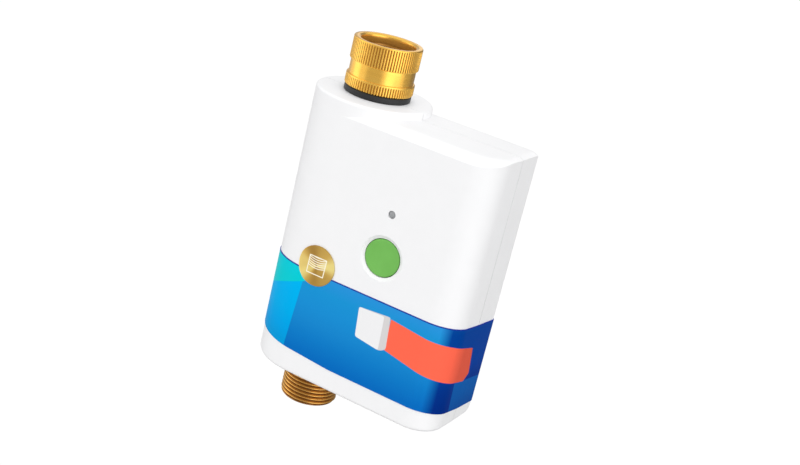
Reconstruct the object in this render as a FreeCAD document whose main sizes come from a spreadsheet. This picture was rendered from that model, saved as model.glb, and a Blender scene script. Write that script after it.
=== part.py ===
import FreeCAD, Part
import math
import os
import re
import Sketcher

# Tap-mounted watering valve: a brass pipe with a ball valve runs down a round column, and a box
# beside it holds the board, the batteries and the motor that turns the ball through gears.
# Millimetres. X is right, Y is back, Z is up along the pipe. The origin is the centre of the inlet
# thread's inner end, where the spout of the tap seats.

SIZES = {
    # Housing
    "column_radius": 26.2,
    "column_shift": 0.8,
    "side_draft": 0.8,
    "parting_setback": 2.2,
    "front_corner_radius": 13.5,
    "rear_corner_radius": 3.0,
    "housing_wall": 2.4,
    "collar_drop": 12.2,
    "collar_height": 3.2,
    "collar_round": 1.2,
    "base_room": 15.4,
    "base_round": 1.5,
    "heel_radius": 9.0,
    "crown_radius": 6.7,
    "crown_front_reach": 0.7,
    "crown_side_reach": 3.0,
    "crown_corner_radius": 17.0,
    "seam_gap": 0.3,
    "seam_depth": 0.9,
    "gasket_width": 0.8,
    "gasket_height": 1.4,
    # Posts and screws of the housing
    "post_radius": 3.2,
    "post_sink": 0.5,
    "post_seat": 6.0,
    "screw_radius": 1.5,
    "screw_head_radius": 2.6,
    "screw_head_height": 2.0,
    "screw_reach": 10.5,
    "hole_clearance": 0.2,
    "top_post_fall": 6.6,
    "middle_post_offset": 32.6,
    "upper_post_fall": 10.6,
    "side_post_fall": 10.3,
    "lower_post_rise": 10.6,
    "rib_thickness": 2.0,
    "upper_rib_fall": 9.0,
    "lower_rib_rise": 9.5,
    "seat_gap": 0.1,
    # Inlet
    "inlet_thread_radius": 12.06,
    "nut_radius": 15.35,
    "nut_rise": 12.0,
    "nut_fall": 9.2,
    "upper_band_height": 9.9,
    "lower_band_height": 5.0,
    "band_step": 0.8,
    "rim_chamfer": 0.6,
    "mouth_chamfer": 1.1,
    "relief_depth": 0.55,
    "knurl_count": 78,
    "knurl_depth": 0.45,
    "knurl_width": 0.62,
    "washer_gap": 0.2,
    "washer_thickness": 2.5,
    "washer_radius": 12.3,
    "washer_bore": 8.2,
    "flange_radius": 11.8,
    "flange_thickness": 2.2,
    "nut_play": 0.3,
    "nut_clearance": 0.2,
    "neck_radius": 9.8,
    "port_radius": 7.5,
    "screen_thickness": 0.6,
    "screen_hole_radius": 1.15,
    "screen_hole_pitch": 2.6,
    "ring_radius": 15.0,
    "ring_gap": 0.2,
    "collar_hole_radius": 10.4,
    # Ball valve
    "valve_drop": 88.0,
    "ball_radius": 11.5,
    "ball_gap": 0.1,
    "chamber_radius": 12.2,
    "seat_near": 6.0,
    "seat_far": 13.0,
    "barrel_radius": 15.6,
    "socket_radius": 13.0,
    "socket_depth": 9.0,
    "body_rise": 28.0,
    "body_fall": 24.0,
    "hex_flats": 27.0,
    "hex_height": 8.0,
    "boss_radius": 7.5,
    "boss_reach": 22.0,
    "stem_radius": 4.0,
    "stem_end_radius": 3.0,
    "stem_gap": 0.05,
    "slot_width": 3.2,
    "slot_depth": 2.8,
    "seal_groove_depth": 0.8,
    "seal_width": 1.6,
    "seal_pitch": 3.4,
    # Outlet
    "outlet_thread_radius": 13.22,
    "outlet_reach": 19.6,
    "outlet_tube_radius": 12.2,
    "outlet_mouth_radius": 9.6,
    "outlet_mouth_depth": 8.0,
    "outlet_hole_gap": 0.3,
    "clamp_flange_radius": 15.4,
    "clamp_flange_height": 2.2,
    "outlet_seal_height": 1.6,
    # Gear train
    "gear_module": 0.6,
    "drive_teeth": 40,
    "idler_large_teeth": 36,
    "small_teeth": 12,
    "gear_backlash": 0.1,
    "drive_gear_width": 5.0,
    "large_idler_width": 3.5,
    "gear_side_gap": 0.8,
    "frame_gap": 1.7,
    "frame_thickness": 2.0,
    "frame_half_depth": 13.2,
    "frame_rise": 19.0,
    "frame_edge": 0.6,
    "pillar_radius": 2.4,
    "plate_thickness": 1.5,
    "pin_radius": 1.0,
    "pin_gap": 0.06,
    # Motor
    "motor_radius": 10.0,
    "motor_half_height": 7.5,
    "motor_length": 21.5,
    "endcap_length": 3.2,
    "motor_boss_radius": 3.0,
    "motor_screw_offset": 6.3,
    # Button, light and board
    "button_offset": 33.3,
    "button_above_board": 16.2,
    "button_radius": 8.55,
    "button_gap": 0.2,
    "button_sink": 0.5,
    "button_flange_radius": 10.2,
    "button_flange_height": 0.8,
    "dish_radius": 10.2,
    "dish_depth": 0.9,
    "light_below_board": 24.6,
    "light_radius": 1.7,
    "light_flange_radius": 2.6,
    "board_depth": 5.7,
    "board_thickness": 1.6,
    "board_left": 24.0,
    "board_right": 64.5,
    "board_top_fall": 12.0,
    "board_below_holder": 7.3,
    "switch_half_width": 2.6,
    "switch_height": 1.4,
    "plunger_radius": 1.2,
    "standoff_radius": 2.6,
    "board_screw_radius": 1.0,
    "board_screw_inset": 3.4,
    # Batteries and their cover
    "cell_radius": 7.1,
    "cell_length": 49.3,
    "cell_nub_height": 1.0,
    "cell_nub_radius": 2.7,
    "cell_gap": 0.6,
    "holder_wall": 1.0,
    "holder_left": 38.1,
    "holder_top_fall": 8.2,
    "contact_room": 2.6,
    "holder_gap": 0.3,
    "cover_side_room": 0.7,
    "cover_side_trim": 0.3,
    "cover_seat_room": 0.25,
    "side_room": 2.9,
    "cover_top_fall": 2.6,
    "cover_below_holder": 5.5,
    "cover_thickness": 2.0,
    "cover_gap": 0.15,
    "cover_corner_radius": 3.0,
    "ledge_depth": 2.1,
    "ledge_margin": 1.0,
    "cover_screw_inset": 2.9,
    "cover_screw_radius": 1.1,
    "cover_screw_head_radius": 2.0,
    "cover_screw_sink": 1.3,
    "cover_post_radius": 2.0,
    "cover_gasket_width": 0.7,
    "cover_gasket_height": 1.0,
    # Printed sleeve and sticker
    "sleeve_fall": 75.1,
    "sleeve_height": 40.9,
    "sleeve_top_fall": 5.2,
    "sleeve_foot_fall": 6.3,
    "sleeve_left_rise": 3.5,
    "sleeve_right_fall": 4.2,
    "film_thickness": 0.3,
    "badge_radius": 9.3,
    "badge_offset": 3.7,
    "badge_rise": 3.2,
}

# Sizes that follow from others: the batteries set the box, its cover, the board and the button
DERIVED = {
    "cell_pitch": "=2 * cell_radius + cell_gap",
    "holder_right": "=holder_left + cell_pitch + 2 * cell_radius + 2 * holder_wall + 2 * holder_gap",
    "holder_front": "=board_depth + board_thickness + holder_gap - column_radius",
    "holder_rear": "=holder_front + holder_wall + holder_gap + cell_pitch + 2 * cell_radius",
    "holder_top": "=-(collar_drop + collar_height + holder_top_fall)",
    "holder_height": "=cell_length + cell_nub_height + 2 * contact_room + 2 * holder_wall",
    "holder_low": "=holder_top - holder_height",
    "box_right": "=holder_right + side_room + housing_wall",
    "box_rear": "=holder_rear + cover_seat_room + ledge_depth + cover_gap + cover_thickness",
    "cover_left": "=holder_left - cover_side_room",
    "cover_right": "=holder_right - cover_side_trim",
    "cover_low": "=holder_low - cover_below_holder",
    "board_top": "=-(collar_drop + collar_height + board_top_fall)",
    "board_low": "=holder_low - board_below_holder",
    "button_level": "=board_low + button_above_board",
    "light_level": "=board_top - light_below_board",
}

doc = FreeCAD.newDocument("watering_valve")
sheet = doc.addObject("Spreadsheet::Sheet", "Sizes")
for row, (alias, amount) in enumerate({**SIZES, **DERIVED}.items(), 1):
    sheet.set(f"A{row}", alias)
    sheet.set(f"B{row}", str(amount))
    sheet.setAlias(f"B{row}", alias)
doc.recompute()

# Levels and places that several pieces share, as formulas of the sizes
BOX_TOP = "(-(collar_drop + collar_height))"
FRONT = "-column_radius"
FRAME_LEFT = "(boss_reach - frame_thickness)"
DRIVE_LEFT = "(boss_reach + frame_gap)"
LARGE_LEFT = "(boss_reach + frame_gap + drive_gear_width + gear_side_gap)"
PLATE_LEFT = "(boss_reach + frame_gap + drive_gear_width + gear_side_gap + large_idler_width + frame_gap)"
IDLER_DROP = "(valve_drop + gear_module * (drive_teeth + small_teeth) / 2)"
MOTOR_DROP = ("(valve_drop + gear_module * (drive_teeth + small_teeth) / 2"
              " + gear_module * (idler_large_teeth + small_teeth) / 2)")
FRAME_LOW = f"(-{MOTOR_DROP} - motor_half_height - frame_edge)"
BASE = f"({FRAME_LOW} - base_room)"
HOUSING_HEIGHT = f"({BOX_TOP} - {BASE})"
BOARD_FRONT = "(board_depth - column_radius)"
COVER_TOP = "(-(collar_drop + collar_height + cover_top_fall))"

UP = FreeCAD.Rotation()
TO_RIGHT = FreeCAD.Rotation(FreeCAD.Vector(0, 1, 0), 90)
TO_REAR = FreeCAD.Rotation(FreeCAD.Vector(1, 0, 0), -90)
TO_FRONT = FreeCAD.Rotation(FreeCAD.Vector(1, 0, 0), 90)

pieces = []


def formula(text):
    """Point each size named in a formula at its cell in the sheet."""
    return re.sub(r"[a-z]+(_[a-z]+)+", r"Sizes.\g<0>", str(text))


def value(text):
    """The number that a formula gives now."""
    result = sheet.evalExpression(formula(text))
    return float(getattr(result, "Value", result))


def bind(thing, **sizes):
    """Bind properties of an object to formulas of the sizes."""
    for name, text in sizes.items():
        thing.setExpression(name, formula(text))


def place(thing, x="0", y="0", z="0", turn=UP):
    """Stand an object at a place that follows the sizes, turned from its own Z axis."""
    thing.Placement = FreeCAD.Placement(FreeCAD.Vector(), turn)
    for axis, text in zip("xyz", (x, y, z)):
        thing.setExpression(f"Placement.Base.{axis}", formula(text))
    return thing


def piece(thing, label):
    """Keep an object as a finished piece of the product."""
    thing.Label = label
    pieces.append(thing)
    return thing


def new_body(name):
    return doc.addObject("PartDesign::Body", name)


def sketch_on(body, name, plane, x="0", y="0", z="0"):
    """A sketch on an origin plane of the body, shifted in that plane's own axes."""
    sketch = body.newObject("Sketcher::SketchObject", name)
    support = next(part for part in body.Origin.OriginFeatures if part.Role == plane)
    sketch.AttachmentSupport = (support, [""])
    sketch.MapMode = "FlatFace"
    for axis, text in zip("xyz", (x, y, z)):
        sketch.setExpression(f"AttachmentOffset.Base.{axis}", formula(text))
    return sketch


def hold(sketch, element, point, x, y):
    """Tie a point of a sketch to its two coordinates."""
    for direction, text in (("DistanceX", x), ("DistanceY", y)):
        number = sketch.addConstraint(
            Sketcher.Constraint(direction, -1, 1, element, point, value(text)))
        sketch.setExpression(f"Constraints[{number}]", formula(text))


def draw_polygon(sketch, corners):
    """A closed outline of straight lines through corners given as pairs of formulas."""
    first = sketch.GeometryCount
    places = [FreeCAD.Vector(value(x), value(y), 0) for x, y in corners]
    for number, start in enumerate(places):
        end = places[(number + 1) % len(places)]
        sketch.addGeometry(Part.LineSegment(start, end), False)
    for number, (x, y) in enumerate(corners):
        before = first + (number - 1) % len(corners)
        sketch.addConstraint(Sketcher.Constraint("Coincident", before, 2, first + number, 1))
        hold(sketch, first + number, 1, x, y)


def draw_rectangle(sketch, left, low, right, high):
    draw_polygon(sketch, [(left, low), (right, low), (right, high), (left, high)])


def draw_circle(sketch, radius, x="0", y="0"):
    number = sketch.addGeometry(
        Part.Circle(FreeCAD.Vector(value(x), value(y), 0), FreeCAD.Vector(0, 0, 1), value(radius)))
    size = sketch.addConstraint(Sketcher.Constraint("Radius", number, value(radius)))
    sketch.setExpression(f"Constraints[{size}]", formula(radius))
    hold(sketch, number, 3, x, y)


def feature(body, kind, sketch, **sizes):
    """A PartDesign feature made from a sketch, with its sizes bound."""
    made = body.newObject(f"PartDesign::{kind}", f"{sketch.Name}_{kind.lower()}")
    made.Profile = sketch
    bind(made, **sizes)
    return made


def turn_profile(body, name, corners, kind="Revolution"):
    """Revolve an outline given as (radius, height) pairs about the body's Z axis."""
    sketch = sketch_on(body, name, "XZ_Plane")
    draw_polygon(sketch, corners)
    made = feature(body, kind, sketch)
    made.ReferenceAxis = (sketch, ["V_Axis"])
    made.Angle = 360
    return made


def turned_piece(label, corners, **where):
    """A piece that is one turned profile."""
    body = new_body(label + "_body")
    turn_profile(body, label + "_profile", corners)
    return piece(place(body, **where), label)


def edges_where(base, test):
    """Names of the edges whose ends and middle point pass a test."""
    doc.recompute()
    names = []
    for number, edge in enumerate(base.Shape.Edges, 1):
        middle = edge.valueAt((edge.FirstParameter + edge.LastParameter) / 2)
        if test(edge, middle):
            names.append(f"Edge{number}")
    return names


def upright_at(x, y):
    """A test for the vertical straight edge at a place in plan."""
    def test(edge, middle):
        straight = edge.Curve.TypeId == "Part::GeomLine"
        steep = straight and abs(edge.Curve.Direction.z) > 0.99
        return steep and abs(middle.x - x) < 0.01 and abs(middle.y - y) < 0.01
    return test


def round_edges(body, name, base, test, radius):
    """Fillet the edges of a body's feature that pass a test."""
    made = body.newObject("PartDesign::Fillet", name)
    made.Base = (base, edges_where(base, test))
    bind(made, Radius=radius)
    return made


def box(name, x, y, z):
    """A rectangular block between pairs of formulas on each axis."""
    made = doc.addObject("Part::Box", name)
    for size, (low, high) in zip(("Length", "Width", "Height"), (x, y, z)):
        bind(made, **{size: f"({high}) - ({low})"})
    return place(made, x[0], y[0], z[0])


def rod(name, radius, length, x="0", y="0", z="0", turn=UP):
    """A cylinder from a place along the turned Z axis."""
    made = doc.addObject("Part::Cylinder", name)
    bind(made, Radius=radius, Height=length)
    return place(made, x, y, z, turn)


def join(name, parts):
    made = doc.addObject("Part::MultiFuse", name)
    made.Shapes = parts
    return made


def group(name, parts):
    made = doc.addObject("Part::Compound", name)
    made.Links = parts
    return made


def shared(name, parts):
    made = doc.addObject("Part::MultiCommon", name)
    made.Shapes = parts
    return made


def cut(name, base, tools):
    made = doc.addObject("Part::Cut", name)
    made.Base = base
    made.Tool = tools[0] if len(tools) == 1 else join(name + "_tools", tools)
    return made


# Housing: one outer form, drawn in by any amount, gives the shells, gasket, sleeve and sticker

def plan_block(name, inset, low, height, base_round=None):
    """The box beside the column in plan, with its corner radii, drawn in by an inset."""
    body = new_body(name)
    sketch = sketch_on(body, name + "_plan", "XY_Plane", z=low)
    front = f"-(column_radius - ({inset}))"
    right = f"box_right - ({inset})"
    rear = f"box_rear - ({inset})"
    left = "-column_shift"
    draw_polygon(sketch, [(left, front), (f"{right} - side_draft", front),
                          (right, "-parting_setback"), (right, rear), (left, rear)])
    block = feature(body, "Pad", sketch, Length=height)
    corner = upright_at(value(f"{right} - side_draft"), value(front))
    rounded = round_edges(body, name + "_front_corner", block, corner,
                          f"front_corner_radius - ({inset})")
    rounded = round_edges(body, name + "_rear_corner", rounded,
                          upright_at(value(right), value(rear)), f"rear_corner_radius - ({inset})")
    if base_round:
        base = value(low)
        round_edges(body, name + "_base", rounded,
                    lambda edge, middle: abs(middle.z - base) < 0.01 and middle.x > 0.01,
                    base_round)
    return body


def side_block(name, inset):
    """The box seen from the side, with its large rear bottom radius, drawn in by an inset."""
    body = new_body(name)
    sketch = sketch_on(body, name + "_side", "YZ_Plane")
    rear = f"box_rear - ({inset})"
    draw_rectangle(sketch, "-2 * column_radius", f"{BASE} + ({inset})", rear, f"{BOX_TOP} - ({inset})")
    block = feature(body, "Pad", sketch, Length="2 * box_right")
    heel_y = value(rear)
    heel_z = value(f"{BASE} + ({inset})")

    def at_heel(edge, middle):
        return abs(middle.y - heel_y) < 0.01 and abs(middle.z - heel_z) < 0.01 and edge.Length > 1

    round_edges(body, name + "_heel", block, at_heel, f"heel_radius - ({inset})")
    return place(body, x="-column_shift")


def crown_block(name):
    """A larger block whose rounded top edges give the housing its falling front and sides."""
    body = new_body(name)
    sketch = sketch_on(body, name + "_plan", "XY_Plane", z=f"{BASE} - 1")
    front = "-(column_radius + crown_front_reach)"
    right = "box_right + crown_side_reach"
    rear = "box_rear + crown_side_reach"
    draw_rectangle(sketch, "-crown_radius", front, right, rear)
    block = feature(body, "Pad", sketch, Length=f"{HOUSING_HEIGHT} + 1")
    doc.recompute()
    rounded = round_edges(body, name + "_corner", block, upright_at(value(right), value(front)),
                          "crown_corner_radius")
    rounded = round_edges(body, name + "_rear_corner", rounded,
                          upright_at(value(right), value(rear)), "crown_radius + 1")
    top = value(BOX_TOP)

    def on_crown(edge, middle):
        return abs(middle.z - top) < 0.01 and middle.x > 0

    round_edges(body, name + "_top", rounded, on_crown, "crown_radius")
    return body


def column_form(name, inset, low, high, rounds=()):
    """The round column over the pipe, drawn in by an inset, with any rounds at its ends."""
    body = new_body(name)
    radius = f"column_radius - ({inset})"
    made = turn_profile(body, name + "_profile",
                        [("0", low), (radius, low), (radius, high), ("0", high)])
    for level, size in rounds:
        height = value(level)

        def at_level(edge, middle):
            return abs(middle.z - height) < 0.01

        made = round_edges(body, f"{name}_{size}", made, at_level, size)
    return place(body, x="-column_shift")


def housing_form(name, inset, crown=False):
    """The whole closed form of the housing, drawn in by an inset."""
    low = f"{BASE} + ({inset})"
    high = f"-(collar_drop + ({inset}))"
    blocks = [plan_block(name + "_box", inset, low, f"{HOUSING_HEIGHT} - 2 * ({inset})",
                         "base_round" if crown else None),
              side_block(name + "_flank", inset)]
    rounds = []
    if crown:
        blocks.append(crown_block(name + "_crown"))
        rounds = [(high, "collar_round"), (low, "base_round")]
    column = column_form(name + "_column", inset, low, high, rounds)
    return join(name, [shared(name + "_sides", blocks), column])


def band_form(name, inset, low, height):
    """A straight length of the housing's outline, for what is wrapped round it."""
    column = column_form(name + "_column", inset, low, f"{low} + ({height})")
    return join(name, [plan_block(name + "_box", inset, low, height), column])


LEFT_POSTS = "-(column_shift + column_radius - housing_wall - post_radius + post_sink)"
POSTS = {
    "upper_left": (LEFT_POSTS, f"{BOX_TOP} - upper_post_fall"),
    "lower_left": (LEFT_POSTS, f"{BASE} + lower_post_rise"),
    "upper_middle": ("middle_post_offset", f"{BOX_TOP} - top_post_fall"),
    "lower_middle": ("middle_post_offset", f"{BASE} + lower_post_rise"),
    "middle_right": ("box_right - housing_wall - post_radius + post_sink", "holder_low - side_post_fall"),
    "lower_right": ("box_right - housing_wall - post_radius + post_sink", f"{BASE} + lower_post_rise"),
}

outside = housing_form("outside", "0", crown=True)
inside = housing_form("inside", "housing_wall")
seam_inside = housing_form("seam_inside", "seam_depth")
gasket_inside = housing_form("gasket_inside", "seam_depth + gasket_width")
mid_wall = housing_form("mid_wall", "housing_wall / 2")
hollow = cut("hollow", outside, [inside])

REACH = "4 * column_radius"
PARTING = "-parting_setback"


def slab(name, low, high):
    """A wide slab between two depths, for splitting the housing."""
    return box(name, ("-2 * column_radius", "2 * box_right"), (low, high),
               (f"{BASE} - 10", "10"))


front_half = slab("front_half", f"-{REACH}", PARTING)
rear_half = slab("rear_half", PARTING, REACH)
seam_slab = slab("seam_slab", f"{PARTING} - seam_gap / 2", f"{PARTING} + seam_gap / 2")
gasket_slab = slab("gasket_slab", f"{PARTING} - gasket_height / 2", f"{PARTING} + gasket_height / 2")
seam = cut("seam", shared("seam_plate", [outside, seam_slab]), [seam_inside])
gasket_ring = cut("gasket_ring", shared("gasket_plate", [seam_inside, gasket_slab]), [gasket_inside])

collar_hole = rod("collar_hole", "collar_hole_radius", "collar_height + housing_wall + 10",
                  z=f"{BOX_TOP} - housing_wall - 2")
outlet_hole = rod("outlet_hole", "outlet_tube_radius + outlet_hole_gap", "housing_wall + 6",
                  z=f"{BASE} - 3")
collar_space = rod("collar_space", "collar_hole_radius + 1.2", "collar_height + housing_wall + 10",
                   z=f"{BOX_TOP} - housing_wall - 2")
outlet_space = rod("outlet_space", "outlet_tube_radius + outlet_hole_gap + 1.2", "housing_wall + 6",
                   z=f"{BASE} - 3")
piece(cut("housing_gasket_cut", gasket_ring, [collar_space, outlet_space]), "housing_gasket")

# Half discs inside the column hold the pipe above and below the valve
upper_rib = cut("upper_rib", rod("upper_rib_disc", "column_radius - housing_wall / 2",
                                 "rib_thickness", x="-column_shift",
                                 z=f"{BOX_TOP} - upper_rib_fall"),
                [rod("upper_rib_hole", "neck_radius + seat_gap", "3 * rib_thickness",
                     z=f"{BOX_TOP} - upper_rib_fall - rib_thickness")])
lower_rib = cut("lower_rib", rod("lower_rib_disc", "column_radius - housing_wall / 2",
                                 "rib_thickness", x="-column_shift",
                                 z=f"{BASE} + lower_rib_rise"),
                [rod("lower_rib_hole", "outlet_tube_radius + seat_gap", "3 * rib_thickness",
                     z=f"{BASE} + lower_rib_rise - rib_thickness")])
posts = shared("posts", [mid_wall, join("post_rods", [
    rod(f"post_{name}", "post_radius", "2 * column_radius", x=x, y=FRONT, z=z, turn=TO_REAR)
    for name, (x, z) in POSTS.items()])])

# Front shell: dish and hole for the button, hole for the light, standoffs for the board
BOARD_SCREWS = [
    ("board_left + board_screw_inset", "board_top - board_screw_inset"),
    ("board_left + board_screw_inset",
     "board_low + board_screw_inset"),
    ("board_right - board_screw_inset",
     "board_low + board_screw_inset"),
]
standoffs = [rod(f"standoff_{number}", "standoff_radius", "board_depth - housing_wall / 2",
                 x=x, y=f"{FRONT} + housing_wall / 2", z=z, turn=TO_REAR)
             for number, (x, z) in enumerate(BOARD_SCREWS)]
pilot_holes = [rod(f"pilot_{name}", "screw_radius + seat_gap / 2", "screw_reach + 0.4", x=x,
                   y="-(screw_reach + 0.4)", z=z, turn=TO_REAR)
               for name, (x, z) in POSTS.items()]
board_holes = [rod(f"board_pilot_{number}", "board_screw_radius + seat_gap / 2", "3", x=x,
                   y=f"{BOARD_FRONT} - 3", z=z, turn=TO_REAR)
               for number, (x, z) in enumerate(BOARD_SCREWS)]
dish = new_body("dish")
turn_profile(dish, "dish_profile", [
    ("0", "1"), ("dish_radius", "1"), ("dish_radius", "0"),
    ("button_radius + button_gap + 0.15", "-dish_depth"),
    ("button_radius + button_gap", "-dish_depth"),
    ("button_radius + button_gap", "-(housing_wall + 1)"), ("0", "-(housing_wall + 1)")])
place(dish, x="button_offset", y=FRONT, z="button_level", turn=TO_FRONT)
light_hole = rod("light_hole", "light_radius + button_gap / 4", "housing_wall + 2",
                 x="button_offset", y=f"{FRONT} - 1", z="light_level", turn=TO_REAR)
front_walls = join("front_walls", [
    shared("front_wall", [hollow, front_half]),
    shared("front_inner", [join("front_posts", [posts, upper_rib, lower_rib]), front_half])]
    + standoffs)
piece(cut("front_shell_cut", front_walls,
          [collar_hole, outlet_hole, dish, light_hole, seam, gasket_ring]
          + pilot_holes + board_holes), "front_shell")

# Rear shell: counterbored screw holes, the battery window with its recess and cover posts
window_top = f"{COVER_TOP} - cover_screw_inset * 1.8"
window_low = "cover_low + cover_screw_inset * 1.8"
window_left = "holder_left + holder_wall"
window_right = "holder_right - holder_wall"
LEDGE = "box_rear - cover_thickness - cover_gap"
COVER_SCREWS = [(x, z)
                for x in ("cover_left + cover_screw_inset", "cover_right - cover_screw_inset")
                for z in (f"{COVER_TOP} - cover_screw_inset",
                          "cover_low + cover_screw_inset")]


def plate_body(name, left, right, low, high, depth, thickness, radius):
    """An upright plate with rounded corners whose rear face is at a depth."""
    body = new_body(name)
    sketch = sketch_on(body, name + "_outline", "XZ_Plane", z=f"-({depth})")
    draw_rectangle(sketch, left, low, right, high)
    made = feature(body, "Pad", sketch, Length=thickness)

    def along_depth(edge, middle):
        return edge.Curve.TypeId == "Part::GeomLine" and abs(edge.Curve.Direction.y) > 0.99

    round_edges(body, name + "_corners", made, along_depth, radius)
    return body


recess = plate_body("recess", "cover_left - cover_gap", "cover_right + cover_gap",
                    "cover_low - cover_gap", f"{COVER_TOP} + cover_gap",
                    "box_rear + 2", "cover_thickness + cover_gap + 2",
                    "cover_corner_radius + cover_gap")
window = box("window", (window_left, window_right), ("0", "box_rear"), (window_low, window_top))
ledge = box("ledge", ("cover_left - ledge_margin", "cover_right + ledge_margin"),
            (f"{LEDGE} - ledge_depth", "box_rear - housing_wall / 2"),
            ("cover_low - ledge_margin", f"{BOX_TOP} - housing_wall / 2"))
counterbores = [rod(f"counterbore_{name}", "screw_head_radius + hole_clearance", "2 * column_radius",
                    x=x, y="post_seat", z=z, turn=TO_REAR) for name, (x, z) in POSTS.items()]
clear_holes = [rod(f"clear_{name}", "screw_radius + hole_clearance", "post_seat + parting_setback + 2",
                   x=x, y="-(parting_setback + 1)", z=z, turn=TO_REAR)
               for name, (x, z) in POSTS.items()]
cover_pilots = [rod(f"cover_pilot_{number}", "cover_screw_radius + seat_gap / 2", "8",
                    x=x, y=f"{LEDGE} - 7", z=z, turn=TO_REAR)
                for number, (x, z) in enumerate(COVER_SCREWS)]
cover_posts = [rod(f"cover_post_{number}", "cover_post_radius", "8", x=x, y=f"{LEDGE} - 8", z=z,
                   turn=TO_REAR)
               for number, (x, z) in enumerate(COVER_SCREWS)]
gasket_left = f"{window_left} - 0.3"
gasket_right = f"{window_right} + 0.3"
gasket_low = f"{window_low} - 0.3"
gasket_top = f"{window_top} + 0.3"
gasket_depths = (f"{LEDGE} - cover_gasket_height + cover_gap", f"{LEDGE} + cover_gap")
cover_ring = cut("cover_ring", box(
    "cover_ring_outer",
    (f"{gasket_left} - cover_gasket_width", f"{gasket_right} + cover_gasket_width"), gasket_depths,
    (f"{gasket_low} - cover_gasket_width", f"{gasket_top} + cover_gasket_width")),
    [box("cover_ring_inner", (gasket_left, gasket_right), ("0", "box_rear"),
         (gasket_low, gasket_top))])
piece(group("cover_gasket_ring", [cover_ring]), "cover_gasket")
rear_walls = join("rear_walls", [
    shared("rear_wall", [hollow, rear_half]),
    shared("rear_inner", [join("rear_posts", [posts, upper_rib, lower_rib, ledge] + cover_posts),
                          rear_half, mid_wall])])
piece(cut("rear_shell_cut", rear_walls,
          [collar_hole, outlet_hole, recess, window, seam, gasket_ring, cover_ring]
          + counterbores + clear_holes + cover_pilots), "rear_shell")
cover = plate_body("cover_plate", "cover_left", "cover_right", "cover_low", COVER_TOP,
                   "box_rear", "cover_thickness", "cover_corner_radius")
cover_holes = [rod(f"cover_hole_{number}", "cover_screw_radius + hole_clearance", "8",
                   x=x, y=f"{LEDGE} - 2", z=z, turn=TO_REAR)
               for number, (x, z) in enumerate(COVER_SCREWS)]
cover_sinks = [rod(f"cover_sink_{number}", "cover_screw_head_radius + hole_clearance", "8",
                   x=x, y="box_rear - cover_screw_sink", z=z, turn=TO_REAR)
               for number, (x, z) in enumerate(COVER_SCREWS)]
piece(cut("battery_cover_cut", cover, cover_holes + cover_sinks), "battery_cover")


def screw_set(label, places, radius, head_radius, head_height, seat, reach, turn=TO_REAR, swap=None):
    """Equal screws: each has a flat head behind its seat and a shank in front of it."""
    screws = []
    for number, (x, z) in enumerate(places):
        body = new_body(f"{label}_{number}")
        turn_profile(body, f"{label}_{number}_profile", [
            ("0", f"-({reach})"), (radius, f"-({reach})"), (radius, "0"), (head_radius, "0"),
            (head_radius, head_height), ("0", head_height)])
        screws.append(place(body, x=x, y=seat, z=z, turn=turn))
    return piece(group(label + "_set", screws), label)


screw_set("housing_screws", POSTS.values(), "screw_radius", "screw_head_radius", "screw_head_height",
          "post_seat", "post_seat + screw_reach")
screw_set("cover_screws", COVER_SCREWS, "cover_screw_radius", "cover_screw_head_radius",
          "cover_screw_sink - 0.1", "box_rear - cover_screw_sink", "7")
screw_set("board_screws", BOARD_SCREWS, "board_screw_radius", "board_screw_radius * 1.9", "1.0",
          f"{BOARD_FRONT} + board_thickness", "board_thickness + 2.8")

# Inlet: swivel nut, washer, screen, neck and the black ring under the nut
NUT_SHOULDER = "-(washer_gap + washer_thickness + flange_thickness + nut_play)"
UPPER_BAND_LOW = "nut_rise - upper_band_height"
LOWER_BAND_TOP = "lower_band_height - nut_fall"
nut = new_body("inlet_nut_body")
turn_profile(nut, "nut_profile", [
    ("neck_radius + nut_clearance", "-nut_fall"),
    ("nut_radius - rim_chamfer / 2", "-nut_fall"),
    ("nut_radius", "-nut_fall + rim_chamfer / 2"),
    ("nut_radius", LOWER_BAND_TOP),
    ("nut_radius - band_step", LOWER_BAND_TOP),
    ("nut_radius - band_step", UPPER_BAND_LOW),
    ("nut_radius", UPPER_BAND_LOW),
    ("nut_radius", "nut_rise - rim_chamfer"),
    ("nut_radius - rim_chamfer", "nut_rise"),
    ("inlet_thread_radius + mouth_chamfer", "nut_rise"),
    ("inlet_thread_radius", "nut_rise - mouth_chamfer"),
    ("inlet_thread_radius", "0"),
    ("inlet_thread_radius + relief_depth", "0"),
    ("inlet_thread_radius + relief_depth", NUT_SHOULDER),
    ("neck_radius + nut_clearance", NUT_SHOULDER)])


def knurl(body, name, base_level, height):
    """Flutes cut along the nut, all round one band."""
    sketch = sketch_on(body, name, "XY_Plane", z=base_level)
    draw_polygon(sketch, [("nut_radius - knurl_depth", "-knurl_width / 8"),
                          ("nut_radius + knurl_depth", "-knurl_width"),
                          ("nut_radius + knurl_depth", "knurl_width"),
                          ("nut_radius - knurl_depth", "knurl_width / 8")])
    flute = feature(body, "Pocket", sketch, Length=height)
    flute.Reversed = True
    ring = body.newObject("PartDesign::PolarPattern", name + "_ring")
    ring.Originals = [flute]
    ring.Axis = (sketch, ["N_Axis"])
    ring.Angle = 360
    bind(ring, Occurrences="knurl_count")
    body.Tip = ring
    return ring


knurl(nut, "upper_flutes", UPPER_BAND_LOW, "upper_band_height - rim_chamfer")
knurl(nut, "lower_flutes", "-nut_fall", "lower_band_height")
piece(nut, "inlet_nut")

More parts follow.
